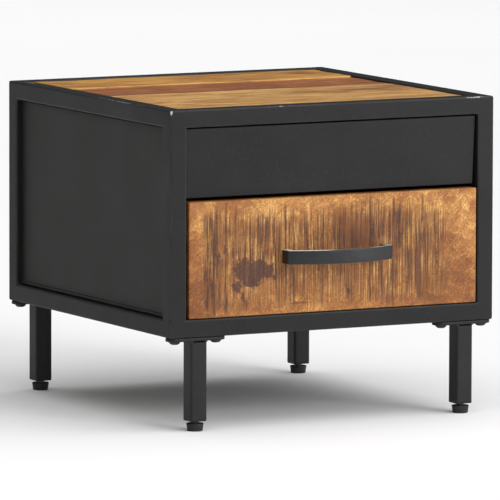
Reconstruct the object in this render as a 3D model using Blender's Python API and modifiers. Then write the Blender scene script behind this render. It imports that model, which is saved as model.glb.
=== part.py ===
"""Side table with one drawer: a welded box frame of square steel tube with a
board top, sheet panels, a drawer on ball-bearing slides and four bolted legs.

Units are metres, +Z is up and the front faces -Y. The origin lies on the floor,
under the middle of the whole table, handle included.
"""
import math

import bmesh
import bpy

# Overall sizes, without the handle
WIDTH = 0.400
DEPTH = 0.400
HEIGHT = 0.351
UNDER_BOX = 0.103            # floor to the underside of the box frame

# Box frame
TUBE = 0.0195                # outside of the square tube
TUBE_WALL = 0.0015
TUBE_EDGE = 0.0018           # rounding along the tube's edges
VENT_RADIUS = 0.003          # hole on a hidden face that lets air out while the tube is painted
GAP = 0.0003                 # clearance between pieces that touch on the real table

# Sheet panels
SHEET = 0.0012
PANEL_RECESS = 0.0065        # outer face of the frame to the face of a panel
PANEL_BEAD_LOW = 0.0018      # underside of the raised bead above the bottom rail
PANEL_BEAD_HIGH = 0.0042     # top of that bead
PANEL_BEAD_PROUD = 0.0012
BOTTOM_PANEL_RISE = 0.006    # underside of the frame to the bottom panel

# Wood top
BOARD_COUNT = 4
BOARD_THICKNESS = 0.016
BOARD_RECESS = 0.0012        # top of the frame to the top of the boards
BOARD_EDGE = 0.0008
CROSS_BAR_WIDTH = 0.025
CROSS_BAR_THICKNESS = 0.003
CROSS_BAR_SPACING = 0.200

# Fascia above the drawer
FASCIA_RECESS = 0.005
FASCIA_FLANGE = 0.012
FASCIA_TOP_GAP = 0.0012
FASCIA_RIGHT_GAP = 0.0018

# Drawer
FRONT_RECESS = 0.001         # face of the frame to the face of the drawer front
FRONT_THICKNESS = 0.018
FRONT_HEIGHT = 0.127
FRONT_BOTTOM_GAP = 0.0007
FRONT_TOP_GAP = 0.0042
FRONT_LEFT_GAP = 0.0036
FRONT_RIGHT_GAP = 0.0014
FRONT_EDGE = 0.0008
SIDE_THICKNESS = 0.012
SIDE_HEIGHT = 0.095
SIDE_RISE = 0.012            # top of the bottom rail to the underside of the drawer box
BOX_BACK_ROOM = 0.017        # back of the drawer box to the rear posts
FLOOR_THICKNESS = 0.004
FLOOR_RISE = 0.008           # underside of the drawer box to its floor
GROOVE_DEPTH = 0.005

# Ball-bearing slides
SLIDE_HEIGHT = 0.035
SLIDE_THICKNESS = 0.0127
SLIDE_SHEET = 0.0012
SLIDE_FRONT_ROOM = 0.003     # back of the front posts to the slide
SLIDE_BACK_ROOM = 0.028      # back of the slide to the rear posts
DRAWER_TRAVEL = 0.220
RACE_HEIGHT = 0.0041         # space for the balls between the two runners
LIP_HEIGHT = 0.0012
RUNNER_TIP_ROOM = 0.0007      # edge of the cabinet runner to the web of the drawer runner
DRAWER_RUNNER_TIP = 0.003     # face of the posts to the edge of the drawer runner
CAGE_SHEET = 0.0007
CAGE_END_ROOM = 0.001
RUNNER_BAR_HEIGHT = 0.025
RUNNER_BAR_THICKNESS = 0.003

# Handle
HANDLE_LENGTH = 0.129
HANDLE_HEIGHT = 0.0155
HANDLE_BAR = 0.004           # thickness of the bowed bar
HANDLE_FOOT = 0.007          # width of each foot
HANDLE_FOOT_DEPTH = 0.015    # drawer front to the bar at the handle's ends
HANDLE_PROJECTION = 0.031    # drawer front to the bar at the middle
HANDLE_STEPS = 14
HANDLE_RIGHT = 0.0005        # the handle sits this far right of the drawer front's middle
HANDLE_DROP = 0.0005         # and this far below it
SCREW_RADIUS = 0.002
SCREW_GRIP = 0.007           # length of screw inside the handle's foot
SCREW_HEAD_RADIUS = 0.004
SCREW_HEAD_HEIGHT = 0.0024

# Legs, bolts and feet
LEG_TUBE = 0.0195
LEG_WALL = 0.0015
LEG_EDGE = 0.0018
LEG_INSET = 0.035            # side of the frame to the middle of a leg
LEG_BOTTOM = 0.011           # floor to the lower end of a leg
LEG_END_PLATE = 0.003
PLATE_LENGTH = 0.070
PLATE_THICKNESS = 0.0037
BOLT_SPACING = 0.050
BOLT_RADIUS = 0.003
BOLT_HEAD_RADIUS = 0.0062
BOLT_HEAD_HEIGHT = 0.0032
BOLT_REACH = 0.009           # length of bolt above the frame's underside
STUD_RADIUS = 0.004
STUD_TOP = 0.042
PAD_HEIGHT = 0.0085
PAD_TOP_RADIUS = 0.0095
PAD_BOTTOM_RADIUS = 0.0085
PAD_FLOOR = 0.004            # thickness of pad under the stud
PAD_LIP = 0.0006

# Levels and faces that follow from the sizes above
HANDLE_PROUD = HANDLE_PROJECTION - FRONT_RECESS
FRAME_FRONT = (HANDLE_PROUD - DEPTH) / 2
FRAME_BACK = FRAME_FRONT + DEPTH
BOX_BOTTOM = UNDER_BOX
SIDE_X = WIDTH / 2
INNER_X = SIDE_X - TUBE
INNER_FRONT = FRAME_FRONT + TUBE
INNER_BACK = FRAME_BACK - TUBE
INNER_BOTTOM = BOX_BOTTOM + TUBE
INNER_TOP = HEIGHT - TUBE
PANEL_FLANGE = TUBE - PANEL_RECESS - RUNNER_BAR_THICKNESS   # folded edge, up to the runner bars
SIDES = {"left": -1, "right": 1}

for old in list(bpy.data.objects):
    bpy.data.objects.remove(old, do_unlink=True)

table = bpy.data.collections.new("side_table")
cutters = bpy.data.collections.new("cutters")
bpy.context.scene.collection.children.link(table)
bpy.context.scene.collection.children.link(cutters)


# Materials

def make_material(name, color, roughness, metallic):
    material = bpy.data.materials.new(name)
    material.use_nodes = True
    shader = material.node_tree.nodes["Principled BSDF"]
    shader.inputs["Base Color"].default_value = (*color, 1.0)
    shader.inputs["Roughness"].default_value = roughness
    shader.inputs["Metallic"].default_value = metallic
    material.diffuse_color = (*color, 1.0)
    return material


BLACK_STEEL = make_material("black_steel", (0.035, 0.035, 0.037), 0.50, 0.4)
ZINC_STEEL = make_material("zinc_steel", (0.55, 0.56, 0.57), 0.35, 1.0)
TOP_WOOD = make_material("top_wood", (0.58, 0.33, 0.13), 0.55, 0.0)
FRONT_WOOD = make_material("front_wood", (0.45, 0.20, 0.07), 0.60, 0.0)
PLAIN_WOOD = make_material("plain_wood", (0.60, 0.42, 0.24), 0.65, 0.0)
BLACK_PLASTIC = make_material("black_plastic", (0.03, 0.03, 0.03), 0.55, 0.0)


# Shapes that several pieces share

def adopt(piece, name, material, collection=table):
    """Name a new object and put it in its collection."""
    piece.name = name
    piece.data.name = name
    for holder in list(piece.users_collection):
        holder.objects.unlink(piece)
    collection.objects.link(piece)
    if material is not None:
        piece.data.materials.append(material)
    if collection is cutters:
        piece.hide_render = True
        piece.display_type = "WIRE"
    return piece


def box(name, low, high, material=None, collection=table):
    """A block between two corners, with its origin at its middle."""
    bpy.ops.mesh.primitive_cube_add(size=1.0)
    piece = bpy.context.object
    size = [top - bottom for bottom, top in zip(low, high)]
    for vertex in piece.data.vertices:
        vertex.co = [part * side for part, side in zip(vertex.co, size)]
    piece.location = [(bottom + top) / 2 for bottom, top in zip(low, high)]
    return adopt(piece, name, material, collection)


def rod(name, middle, radius, length, axis="Z", sides=16, collection=cutters):
    """A cylinder along one axis."""
    turns = {"X": (0, math.pi / 2, 0), "Y": (math.pi / 2, 0, 0), "Z": (0, 0, 0)}
    bpy.ops.mesh.primitive_cylinder_add(vertices=sides, radius=radius, depth=length,
                                        location=middle, rotation=turns[axis])
    return adopt(bpy.context.object, name, None, collection)


def cut(piece, cutter):
    """Take the cutter's shape out of the piece."""
    modifier = piece.modifiers.new("cut_" + cutter.name, "BOOLEAN")
    modifier.operation = "DIFFERENCE"
    modifier.solver = "EXACT"
    modifier.object = cutter


def round_edges(piece, width):
    """Break the sharp edges of a piece."""
    modifier = piece.modifiers.new("rounded_edges", "BEVEL")
    modifier.width = width
    modifier.segments = 1
    modifier.limit_method = "ANGLE"


def extrusion(name, outline, length, middle, along, material, collection=table):
    """A flat outline carried along one axis.

    The outline's two coordinates are (Y, Z) along X, (X, Z) along Y and (X, Y) along Z.
    """
    turns = {"X": (math.pi / 2, 0, math.pi / 2), "Y": (math.pi / 2, 0, 0), "Z": (0, 0, 0)}
    shape = bpy.data.curves.new(name, "CURVE")
    shape.dimensions = "2D"
    shape.fill_mode = "BOTH"
    shape.extrude = length / 2
    spline = shape.splines.new("POLY")
    spline.points.add(len(outline) - 1)
    for point, (across, up) in zip(spline.points, outline):
        point.co = (across, up, 0, 1)
    spline.use_cyclic_u = True
    piece = bpy.data.objects.new(name, shape)
    piece.location = middle
    piece.rotation_euler = turns[along]
    bpy.context.scene.collection.objects.link(piece)
    return adopt(piece, name, material, collection)


def as_mesh(curve_piece):
    """Turn an extrusion into a closed mesh object that can be cut."""
    bpy.context.view_layer.update()
    evaluated = curve_piece.evaluated_get(bpy.context.evaluated_depsgraph_get())
    mesh = bpy.data.meshes.new_from_object(evaluated)
    name = curve_piece.name
    place = curve_piece.matrix_world.copy()
    holder = curve_piece.users_collection[0]
    bpy.data.objects.remove(curve_piece, do_unlink=True)
    work = bmesh.new()
    work.from_mesh(mesh)
    bmesh.ops.remove_doubles(work, verts=work.verts, dist=0.00001)
    bmesh.ops.recalc_face_normals(work, faces=work.faces)
    work.to_mesh(mesh)
    work.free()
    piece = bpy.data.objects.new(name, mesh)
    piece.matrix_world = place
    bpy.context.scene.collection.objects.link(piece)
    return adopt(piece, name, None, holder)


def turning(name, profile, middle, material, steps=16, rotation=(0, 0, 0)):
    """A turned piece from a profile of (radius, height) points, top to bottom."""
    mesh = bpy.data.meshes.new(name)
    points = [(radius, 0, height) for radius, height in profile]
    mesh.from_pydata(points, [(i, i + 1) for i in range(len(points) - 1)], [])
    piece = bpy.data.objects.new(name, mesh)
    piece.location = middle
    piece.rotation_euler = rotation
    bpy.context.scene.collection.objects.link(piece)
    screw = piece.modifiers.new("turned", "SCREW")
    screw.steps = steps
    screw.render_steps = steps
    screw.use_merge_vertices = True
    screw.merge_threshold = 0.00001
    screw.use_smooth_shade = True
    return adopt(piece, name, material)


# Box frame

def square_tube(name, low, high, vent_axis, vent_toward):
    """A closed square tube with one vent hole in the middle of a hidden face."""
    tube = box(name, low, high, BLACK_STEEL)
    round_edges(tube, TUBE_EDGE)
    inner_low = [value + TUBE_WALL for value in low]
    inner_high = [value - TUBE_WALL for value in high]
    cut(tube, box(name + "_bore", inner_low, inner_high, None, cutters))
    middle = [(bottom + top) / 2 for bottom, top in zip(low, high)]
    index = "XYZ".index(vent_axis)
    middle[index] += vent_toward * TUBE / 2
    cut(tube, rod(name + "_vent", middle, VENT_RADIUS, TUBE, vent_axis, 12))
    return tube


def make_frame():
    rail_levels = {"bottom": (BOX_BOTTOM, INNER_BOTTOM), "top": (INNER_TOP, HEIGHT)}
    rail_depths = {"front": (FRAME_FRONT, INNER_FRONT, 1), "rear": (INNER_BACK, FRAME_BACK, -1)}
    rails = {}
    for level, (low_z, high_z) in rail_levels.items():
        for place, (low_y, high_y, inward) in rail_depths.items():
            name = f"{level}_rail_{place}"
            rails[name] = square_tube(name, (-SIDE_X, low_y, low_z), (SIDE_X, high_y, high_z),
                                      "Y", inward)
        for place, side in SIDES.items():
            low_x, high_x = sorted((side * INNER_X, side * SIDE_X))
            square_tube(f"{level}_rail_{place}", (low_x, INNER_FRONT + GAP, low_z),
                        (high_x, INNER_BACK - GAP, high_z), "X", -side)
    for place, (low_y, high_y, inward) in rail_depths.items():
        for side_name, side in SIDES.items():
            low_x, high_x = sorted((side * INNER_X, side * SIDE_X))
            square_tube(f"post_{place}_{side_name}", (low_x, low_y, INNER_BOTTOM + GAP),
                        (high_x, high_y, INNER_TOP - GAP), "X", -side)
    return rails


# Sheet panels, each with its long edges folded inwards

def panel_outline(outer, inward, low, high, bead):
    """Section of a panel: outer face, folded edges, and a bead along the bottom."""
    face = outer
    back = outer + inward * SHEET
    fold = outer + inward * PANEL_FLANGE
    proud = outer - inward * PANEL_BEAD_PROUD
    points = [(face, high), (fold, high), (fold, high - SHEET), (back, high - SHEET),
              (back, low + SHEET), (fold, low + SHEET), (fold, low), (face, low)]
    if bead:
        points += [(face, low + PANEL_BEAD_LOW), (proud, low + PANEL_BEAD_LOW),
                   (proud, low + PANEL_BEAD_HIGH), (face, low + PANEL_BEAD_HIGH)]
    return points


def make_panels():
    low = INNER_BOTTOM + GAP
    high = INNER_TOP - GAP
    middle_y = (FRAME_FRONT + FRAME_BACK) / 2
    side_length = INNER_BACK - INNER_FRONT - 2 * GAP
    for place, side in SIDES.items():
        outline = panel_outline(side * (SIDE_X - PANEL_RECESS), -side, low, high, True)
        extrusion(f"side_panel_{place}", outline, side_length, (0, middle_y, 0), "Y", BLACK_STEEL)
    outline = panel_outline(FRAME_BACK - PANEL_RECESS, -1, low, high, True)
    extrusion("back_panel", outline, 2 * (INNER_X - GAP), (0, 0, 0), "X", BLACK_STEEL)
    floor = BOX_BOTTOM + BOTTOM_PANEL_RISE
    box("bottom_panel", (-INNER_X + GAP, INNER_FRONT + GAP, floor),
        (INNER_X - GAP, INNER_BACK - GAP, floor + SHEET), BLACK_STEEL)


def make_fascia():
    low = INNER_BOTTOM + FRONT_BOTTOM_GAP + FRONT_HEIGHT + FRONT_TOP_GAP
    high = INNER_TOP - FASCIA_TOP_GAP
    face = FRAME_FRONT + FASCIA_RECESS
    back = face + SHEET
    fold = face + FASCIA_FLANGE
    outline = [(face, high), (fold, high), (fold, high - SHEET), (back, high - SHEET),
               (back, low + SHEET), (fold, low + SHEET), (fold, low), (face, low)]
    left = -INNER_X + GAP
    right = INNER_X - FASCIA_RIGHT_GAP
    extrusion("fascia", outline, right - left, ((left + right) / 2, 0, 0), "X", BLACK_STEEL)


# Wood top: boards side by side, on two flat bars between the front and rear rails

def make_top():
    top = HEIGHT - BOARD_RECESS
    pitch = (INNER_BACK - INNER_FRONT - GAP) / BOARD_COUNT
    for number in range(BOARD_COUNT):
        front = INNER_FRONT + GAP + number * pitch
        board = box(f"top_board_{number + 1}", (-INNER_X + GAP, front, top - BOARD_THICKNESS),
                    (INNER_X - GAP, front + pitch - GAP, top), TOP_WOOD)
        round_edges(board, BOARD_EDGE)
    bar_top = top - BOARD_THICKNESS - GAP
    for place, side in SIDES.items():
        middle = side * CROSS_BAR_SPACING / 2
        box(f"cross_bar_{place}",
            (middle - CROSS_BAR_WIDTH / 2, INNER_FRONT + GAP, bar_top - CROSS_BAR_THICKNESS),
            (middle + CROSS_BAR_WIDTH / 2, INNER_BACK - GAP, bar_top), BLACK_STEEL)


# Drawer

FRONT_FACE = FRAME_FRONT + FRONT_RECESS
FRONT_BACK = FRONT_FACE + FRONT_THICKNESS
FRONT_LOW = INNER_BOTTOM + FRONT_BOTTOM_GAP
HANDLE_X = (FRONT_LEFT_GAP - FRONT_RIGHT_GAP) / 2 + HANDLE_RIGHT
HANDLE_Z = FRONT_LOW + FRONT_HEIGHT / 2 - HANDLE_DROP
SCREW_SPACING = HANDLE_LENGTH - HANDLE_FOOT
BOX_X = INNER_X - SLIDE_THICKNESS - GAP
BOX_LOW = INNER_BOTTOM + SIDE_RISE
BOX_HIGH = BOX_LOW + SIDE_HEIGHT
BOX_BACK = INNER_BACK - BOX_BACK_ROOM


def handle_screw_holes():
    """Cutters for the two screws, through the drawer front and into the handle's feet."""
    start = FRONT_FACE - GAP - SCREW_GRIP - GAP
    end = FRONT_BACK + FRONT_THICKNESS / 2
    holes = []
    for place, side in SIDES.items():
        middle = (HANDLE_X + side * SCREW_SPACING / 2, (start + end) / 2, HANDLE_Z)
        holes.append(rod(f"handle_screw_hole_{place}", middle, SCREW_RADIUS + GAP, end - start, "Y", 12))
    return holes


def make_drawer(holes):
    front = box("drawer_front", (-INNER_X + FRONT_LEFT_GAP, FRONT_FACE, FRONT_LOW),
                (INNER_X - FRONT_RIGHT_GAP, FRONT_BACK, FRONT_LOW + FRONT_HEIGHT), FRONT_WOOD)
    round_edges(front, FRONT_EDGE)
    sides = [box(f"drawer_side_{place}",
                 (min(side * BOX_X, side * (BOX_X - SIDE_THICKNESS)), FRONT_BACK + GAP, BOX_LOW),
                 (max(side * BOX_X, side * (BOX_X - SIDE_THICKNESS)), BOX_BACK, BOX_HIGH), PLAIN_WOOD)
             for place, side in SIDES.items()]
    inside_x = BOX_X - SIDE_THICKNESS
    back = box("drawer_back", (-inside_x + GAP, BOX_BACK - SIDE_THICKNESS, BOX_LOW),
               (inside_x - GAP, BOX_BACK, BOX_HIGH), PLAIN_WOOD)
    floor_low = (-inside_x - GROOVE_DEPTH, FRONT_BACK - GROOVE_DEPTH, BOX_LOW + FLOOR_RISE)
    floor_high = (inside_x + GROOVE_DEPTH, BOX_BACK - SIDE_THICKNESS + GROOVE_DEPTH,
                  BOX_LOW + FLOOR_RISE + FLOOR_THICKNESS)
    groove = box("floor_groove", [value - GAP for value in floor_low],
                 [value + GAP for value in floor_high], None, cutters)
    box("drawer_floor", floor_low, floor_high, PLAIN_WOOD)
    for piece in (front, back, *sides):
        cut(piece, groove)
    for hole in holes:
        cut(front, hole)


def make_handle(holes):
    """A bowed bar between two feet, drawn from above and cut from one flat bar's height."""
    half = HANDLE_LENGTH / 2
    bow = HANDLE_PROJECTION - HANDLE_FOOT_DEPTH
    inner_half = half - HANDLE_FOOT

    def bowed(half_width, offset):
        steps = [half_width * (2 * step / HANDLE_STEPS - 1) for step in range(HANDLE_STEPS + 1)]
        return [(x, -HANDLE_FOOT_DEPTH - bow * (1 - (x / half) ** 2) + offset) for x in steps]

    outline = [(-half, -GAP), *bowed(half, 0), (half, -GAP), (inner_half, -GAP),
               *reversed(bowed(inner_half, HANDLE_BAR)), (-inner_half, -GAP)]
    handle = as_mesh(extrusion("handle", outline, HANDLE_HEIGHT,
                               (HANDLE_X, FRONT_FACE, HANDLE_Z), "Z", BLACK_STEEL))
    for hole in holes:
        cut(handle, hole)
    shank = FRONT_THICKNESS + GAP + SCREW_GRIP
    for place, side in SIDES.items():
        profile = [(0, SCREW_HEAD_HEIGHT), (SCREW_HEAD_RADIUS * 0.7, SCREW_HEAD_HEIGHT),
                   (SCREW_HEAD_RADIUS, SCREW_HEAD_HEIGHT * 0.4), (SCREW_HEAD_RADIUS, 0),
                   (SCREW_RADIUS, 0), (SCREW_RADIUS, -shank), (0, -shank)]
        turning(f"handle_screw_{place}", profile,
                (HANDLE_X + side * SCREW_SPACING / 2, FRONT_BACK + GAP, HANDLE_Z),
                ZINC_STEEL, 12, (-math.pi / 2, 0, 0))


# Slides: a wide channel on the cabinet, a narrow one on the drawer, a ball cage between

def make_slides():
    start = INNER_FRONT + SLIDE_FRONT_ROOM
    end = INNER_BACK - SLIDE_BACK_ROOM
    length = end - start
    middle_y = (start + end) / 2
    cage_length = length - DRAWER_TRAVEL - 2 * CAGE_END_ROOM
    middle_z = BOX_LOW + SIDE_HEIGHT / 2
    outer_half = SLIDE_HEIGHT / 2
    inner_half = outer_half - SLIDE_SHEET - RACE_HEIGHT
    lip_edge = SLIDE_THICKNESS - SLIDE_SHEET - RUNNER_TIP_ROOM
    cage_half = (outer_half - SLIDE_SHEET + inner_half + CAGE_SHEET) / 2

    cabinet_half = [(GAP, outer_half), (lip_edge, outer_half),
                    (lip_edge, outer_half - SLIDE_SHEET - LIP_HEIGHT),
                    (lip_edge - SLIDE_SHEET, outer_half - SLIDE_SHEET - LIP_HEIGHT),
                    (lip_edge - SLIDE_SHEET, outer_half - SLIDE_SHEET),
                    (GAP + SLIDE_SHEET, outer_half - SLIDE_SHEET)]
    drawer_half = [(SLIDE_THICKNESS, inner_half), (DRAWER_RUNNER_TIP + SLIDE_SHEET, inner_half),
                   (DRAWER_RUNNER_TIP + SLIDE_SHEET, inner_half + LIP_HEIGHT),
                   (DRAWER_RUNNER_TIP, inner_half + LIP_HEIGHT), (DRAWER_RUNNER_TIP, inner_half - SLIDE_SHEET),
                   (SLIDE_THICKNESS - SLIDE_SHEET, inner_half - SLIDE_SHEET)]
    cage_web = GAP + SLIDE_SHEET + GAP
    cage_tip = lip_edge - SLIDE_SHEET - 2 * GAP
    cage_upper = [(cage_web, cage_half), (cage_tip, cage_half), (cage_tip, cage_half - CAGE_SHEET),
                  (cage_web + CAGE_SHEET, cage_half - CAGE_SHEET)]

    for place, side in SIDES.items():
        def section(upper):
            points = [*upper, *[(across, -up) for across, up in reversed(upper)]]
            return [(side * (INNER_X - across), middle_z + up) for across, up in points]

        extrusion(f"cabinet_runner_{place}", section(cabinet_half), length, (0, middle_y, 0), "Y",
                  ZINC_STEEL)
        extrusion(f"drawer_runner_{place}", section(drawer_half), length, (0, middle_y, 0), "Y",
                  ZINC_STEEL)
        extrusion(f"ball_cage_{place}", section(cage_upper), cage_length, (0, middle_y, 0), "Y",
                  ZINC_STEEL)
        low_x, high_x = sorted((side * INNER_X, side * (INNER_X + RUNNER_BAR_THICKNESS)))
        box(f"runner_bar_{place}",
            (low_x, INNER_FRONT + GAP, middle_z - RUNNER_BAR_HEIGHT / 2),
            (high_x, INNER_BACK - GAP, middle_z + RUNNER_BAR_HEIGHT / 2), BLACK_STEEL)


# Legs, each a square tube with an end plate below and a bolting plate above

def round_ended(length, width, steps=8):
    """Outline of a flat bar with half-round ends, along X."""
    radius = width / 2
    straight = length / 2 - radius
    outline = []
    for side in (1, -1):
        for step in range(steps + 1):
            angle = -math.pi / 2 + math.pi * step / steps
            outline.append((side * (straight + radius * math.cos(angle)),
                            side * radius * math.sin(angle)))
    return outline


def make_legs(rails):
    plate_top = BOX_BOTTOM - GAP
    plate_low = plate_top - PLATE_THICKNESS
    depths = {"front": (FRAME_FRONT, 1), "rear": (FRAME_BACK, -1)}
    for end, (face, inward) in depths.items():
        for place, side in SIDES.items():
            where = f"{end}_{place}"
            x = side * (SIDE_X - LEG_INSET)
            y = face + inward * LEG_TUBE / 2
            rail_y = face + inward * TUBE / 2
            half = LEG_TUBE / 2
            hollow = half - LEG_WALL
            leg = box(f"leg_{where}", (x - half, y - half, LEG_BOTTOM),
                      (x + half, y + half, plate_low + PLATE_THICKNESS / 2), BLACK_STEEL)
            round_edges(leg, LEG_EDGE)
            plate = as_mesh(extrusion(f"plate_{where}", round_ended(PLATE_LENGTH, TUBE),
                                      PLATE_THICKNESS, (x, rail_y, plate_top - PLATE_THICKNESS / 2),
                                      "Z", None, cutters))
            plate.hide_render = True
            plate.display_type = "WIRE"
            join = leg.modifiers.new("welded_plate", "BOOLEAN")
            join.operation = "UNION"
            join.solver = "EXACT"
            join.object = plate
            cut(leg, box(f"leg_bore_{where}", (x - hollow, y - hollow, LEG_BOTTOM + LEG_END_PLATE),
                         (x + hollow, y + hollow, plate_low), None, cutters))
            cut(leg, rod(f"stud_hole_{where}", (x, y, LEG_BOTTOM), STUD_RADIUS + GAP,
                         4 * LEG_END_PLATE))
            make_foot(where, x, y)
            for number, offset in enumerate((-BOLT_SPACING / 2, BOLT_SPACING / 2), 1):
                hole = rod(f"bolt_hole_{where}_{number}", (x + offset, rail_y, BOX_BOTTOM),
                           BOLT_RADIUS + GAP, 2 * (PLATE_THICKNESS + TUBE_WALL), "Z", 12)
                cut(leg, hole)
                cut(rails[f"bottom_rail_{end}"], hole)
                make_bolt(f"leg_bolt_{where}_{number}", x + offset, rail_y, plate_low - GAP)


def make_bolt(name, x, y, seat):
    """A button-head bolt, head down, with its head's seat at the given height."""
    reach = BOX_BOTTOM + BOLT_REACH - seat
    profile = [(0, reach), (BOLT_RADIUS, reach), (BOLT_RADIUS, 0), (BOLT_HEAD_RADIUS, 0),
               (BOLT_HEAD_RADIUS * 0.92, -BOLT_HEAD_HEIGHT * 0.5),
               (BOLT_HEAD_RADIUS * 0.6, -BOLT_HEAD_HEIGHT), (0, -BOLT_HEAD_HEIGHT)]
    turning(name, profile, (x, y, seat), BLACK_STEEL, 12)


def make_foot(where, x, y):
    """A levelling foot: a tapered pad moulded around a threaded stud."""
    socket = STUD_RADIUS + GAP
    profile = [(socket, PAD_FLOOR), (socket, PAD_HEIGHT), (PAD_TOP_RADIUS - PAD_LIP, PAD_HEIGHT),
               (PAD_TOP_RADIUS, PAD_HEIGHT - PAD_LIP), (PAD_BOTTOM_RADIUS, PAD_LIP),
               (PAD_BOTTOM_RADIUS - PAD_LIP, 0), (0, 0)]
    turning(f"foot_pad_{where}", [(0, PAD_FLOOR), *profile], (x, y, 0), BLACK_PLASTIC)
    low = PAD_FLOOR + GAP
    stud = [(0, STUD_TOP), (STUD_RADIUS - PAD_LIP, STUD_TOP), (STUD_RADIUS, STUD_TOP - PAD_LIP),
            (STUD_RADIUS, low), (0, low)]
    turning(f"foot_stud_{where}", stud, (x, y, 0), ZINC_STEEL, 12)


frame_rails = make_frame()
make_panels()
make_fascia()
make_top()
screw_holes = handle_screw_holes()
make_drawer(screw_holes)
make_handle(screw_holes)
make_slides()
make_legs(frame_rails)
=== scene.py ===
"""A side table with one drawer: a black box frame of welded square tube with a top of
four boards, sheet panels, a rough-sawn drawer front on ball-bearing slides and four
bolted legs. Units are metres, +Z is up and the front faces -Y."""

import bpy
import numpy as np
from mathutils import Matrix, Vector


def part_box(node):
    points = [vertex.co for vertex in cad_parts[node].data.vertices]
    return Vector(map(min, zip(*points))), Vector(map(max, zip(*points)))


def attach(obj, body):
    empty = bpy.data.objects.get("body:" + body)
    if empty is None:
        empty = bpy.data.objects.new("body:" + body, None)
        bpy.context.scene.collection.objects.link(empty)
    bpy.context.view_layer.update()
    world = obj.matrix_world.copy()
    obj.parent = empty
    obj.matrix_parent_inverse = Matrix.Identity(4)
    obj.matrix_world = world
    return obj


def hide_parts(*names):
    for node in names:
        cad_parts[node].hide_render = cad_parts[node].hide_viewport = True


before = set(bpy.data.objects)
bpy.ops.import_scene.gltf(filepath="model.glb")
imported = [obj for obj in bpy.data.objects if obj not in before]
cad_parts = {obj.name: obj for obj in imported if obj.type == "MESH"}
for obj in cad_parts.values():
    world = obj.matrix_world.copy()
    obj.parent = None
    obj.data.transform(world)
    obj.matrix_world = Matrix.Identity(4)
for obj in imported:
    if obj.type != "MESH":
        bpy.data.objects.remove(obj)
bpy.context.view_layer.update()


# The studio: a wide matt floor and a pale surround, dimmer at the left and behind. A far
# soft lamp stands in front and another overhead, with a small panel at each side. The
# camera is far off at the front left, with a long lens, and looks slightly down.

def linear(red, green, blue):
    """A colour card's 0-255 values as light: the sRGB curve undone."""
    card = np.array([red, green, blue]) / 255
    light = np.where(card <= 0.04045, card / 12.92, ((card + 0.055) / 1.055) ** 2.4)
    return (*light.tolist(), 1.0)


def add(tree, kind, sockets=None, **settings):
    """A shader node with its settings, and its sockets linked to others or set to values."""
    made = tree.nodes.new("ShaderNode" + kind)
    for key, value in settings.items():
        setattr(made, key, value)
    for key, value in (sockets or {}).items():
        if isinstance(value, bpy.types.NodeSocket):
            tree.links.new(value, made.inputs[key])
        else:
            made.inputs[key].default_value = value
    return made


def new_finish(name):
    """A new node material, its tree and its shader."""
    finish = bpy.data.materials.new(name)
    finish.use_nodes = True
    return finish, finish.node_tree, finish.node_tree.nodes["Principled BSDF"]


def place(tree, scale=(1, 1, 1), turn=(0, 0, 0), shift=(0, 0, 0)):
    """The piece's own coordinates, turned, then stretched and shifted."""
    own = add(tree, "TexCoord").outputs["Object"]
    if any(turn):
        own = add(tree, "Mapping", {"Vector": own, "Rotation": turn}).outputs["Vector"]
    return add(tree, "Mapping", {"Vector": own, "Scale": scale,
                                 "Location": shift}).outputs["Vector"]


def noise(tree, where, scale, detail=3.0, roughness=0.5, distortion=0.0):
    """Cloudy noise, 0 to 1, with features of about one over scale."""
    return add(tree, "TexNoise", {"Vector": where, "Scale": scale, "Detail": detail,
                                  "Roughness": roughness, "Distortion": distortion}).outputs[0]


def sums(tree, operation, *values, clamp=False):
    """A maths node on sockets or numbers."""
    return add(tree, "Math", dict(enumerate(values)), operation=operation,
               use_clamp=clamp).outputs[0]


def times(tree, first, second, clamp=False):
    """One value times another."""
    return sums(tree, "MULTIPLY", first, second, clamp=clamp)


def span(tree, value, low, high, to_low=0.0, to_high=1.0):
    """A value's range low to high carried to another range, held at its ends."""
    return add(tree, "MapRange", {0: value, 1: low, 2: high, 3: to_low, 4: to_high}).outputs[0]


def ramp(tree, value, *stops):
    """A colour ramp through (position, colour) stops."""
    made = add(tree, "ValToRGB", {0: value})
    band = made.color_ramp
    while len(band.elements) < len(stops):
        band.elements.new(0.5)
    for element, (position, colour) in zip(band.elements, stops):
        element.position = position
        element.color = colour
    return made.outputs[0]


def blend(tree, amount, first, second, mode="MIX"):
    """Two colours mixed by an amount, 0 to 1."""
    return add(tree, "Mix", {0: amount, 6: first, 7: second}, data_type="RGBA",
               blend_type=mode).outputs[2]


def link(tree, value, shader, socket):
    """A value carried into one of a shader's sockets."""
    tree.links.new(value, shader.inputs[socket])


def grid_quads(rows, columns, around=False):
    """Faces of a grid of rows by columns points. Around joins the last column to the first."""
    index = np.arange(rows * columns).reshape(rows, columns)
    if around:
        index = np.column_stack([index, index[:, 0]])
    return np.stack([index[:-1, :-1], index[:-1, 1:], index[1:, 1:], index[1:, :-1]],
                    axis=-1).reshape(-1, 4)


def keep_numbers(mesh, **numbers):
    """Named numbers kept on a mesh's points."""
    for label, values in numbers.items():
        mesh.attributes.new(label, "FLOAT", "POINT").data.foreach_set(
            "value", np.asarray(values, np.float32))


def mesh_object(name, points, faces, finish, **numbers):
    """Points and faces as an object at the origin, smooth but for its sharp edges, with
    its finish and any named number for each point."""
    mesh = bpy.data.meshes.new(name)
    mesh.from_pydata(np.asarray(points).tolist(), [], [list(face) for face in faces])
    mesh.shade_smooth()
    mesh.set_sharp_from_angle(angle=np.radians(40))
    keep_numbers(mesh, **numbers)
    mesh.materials.append(finish)
    made = bpy.data.objects.new(name, mesh)
    bpy.context.scene.collection.objects.link(made)
    return made


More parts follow.
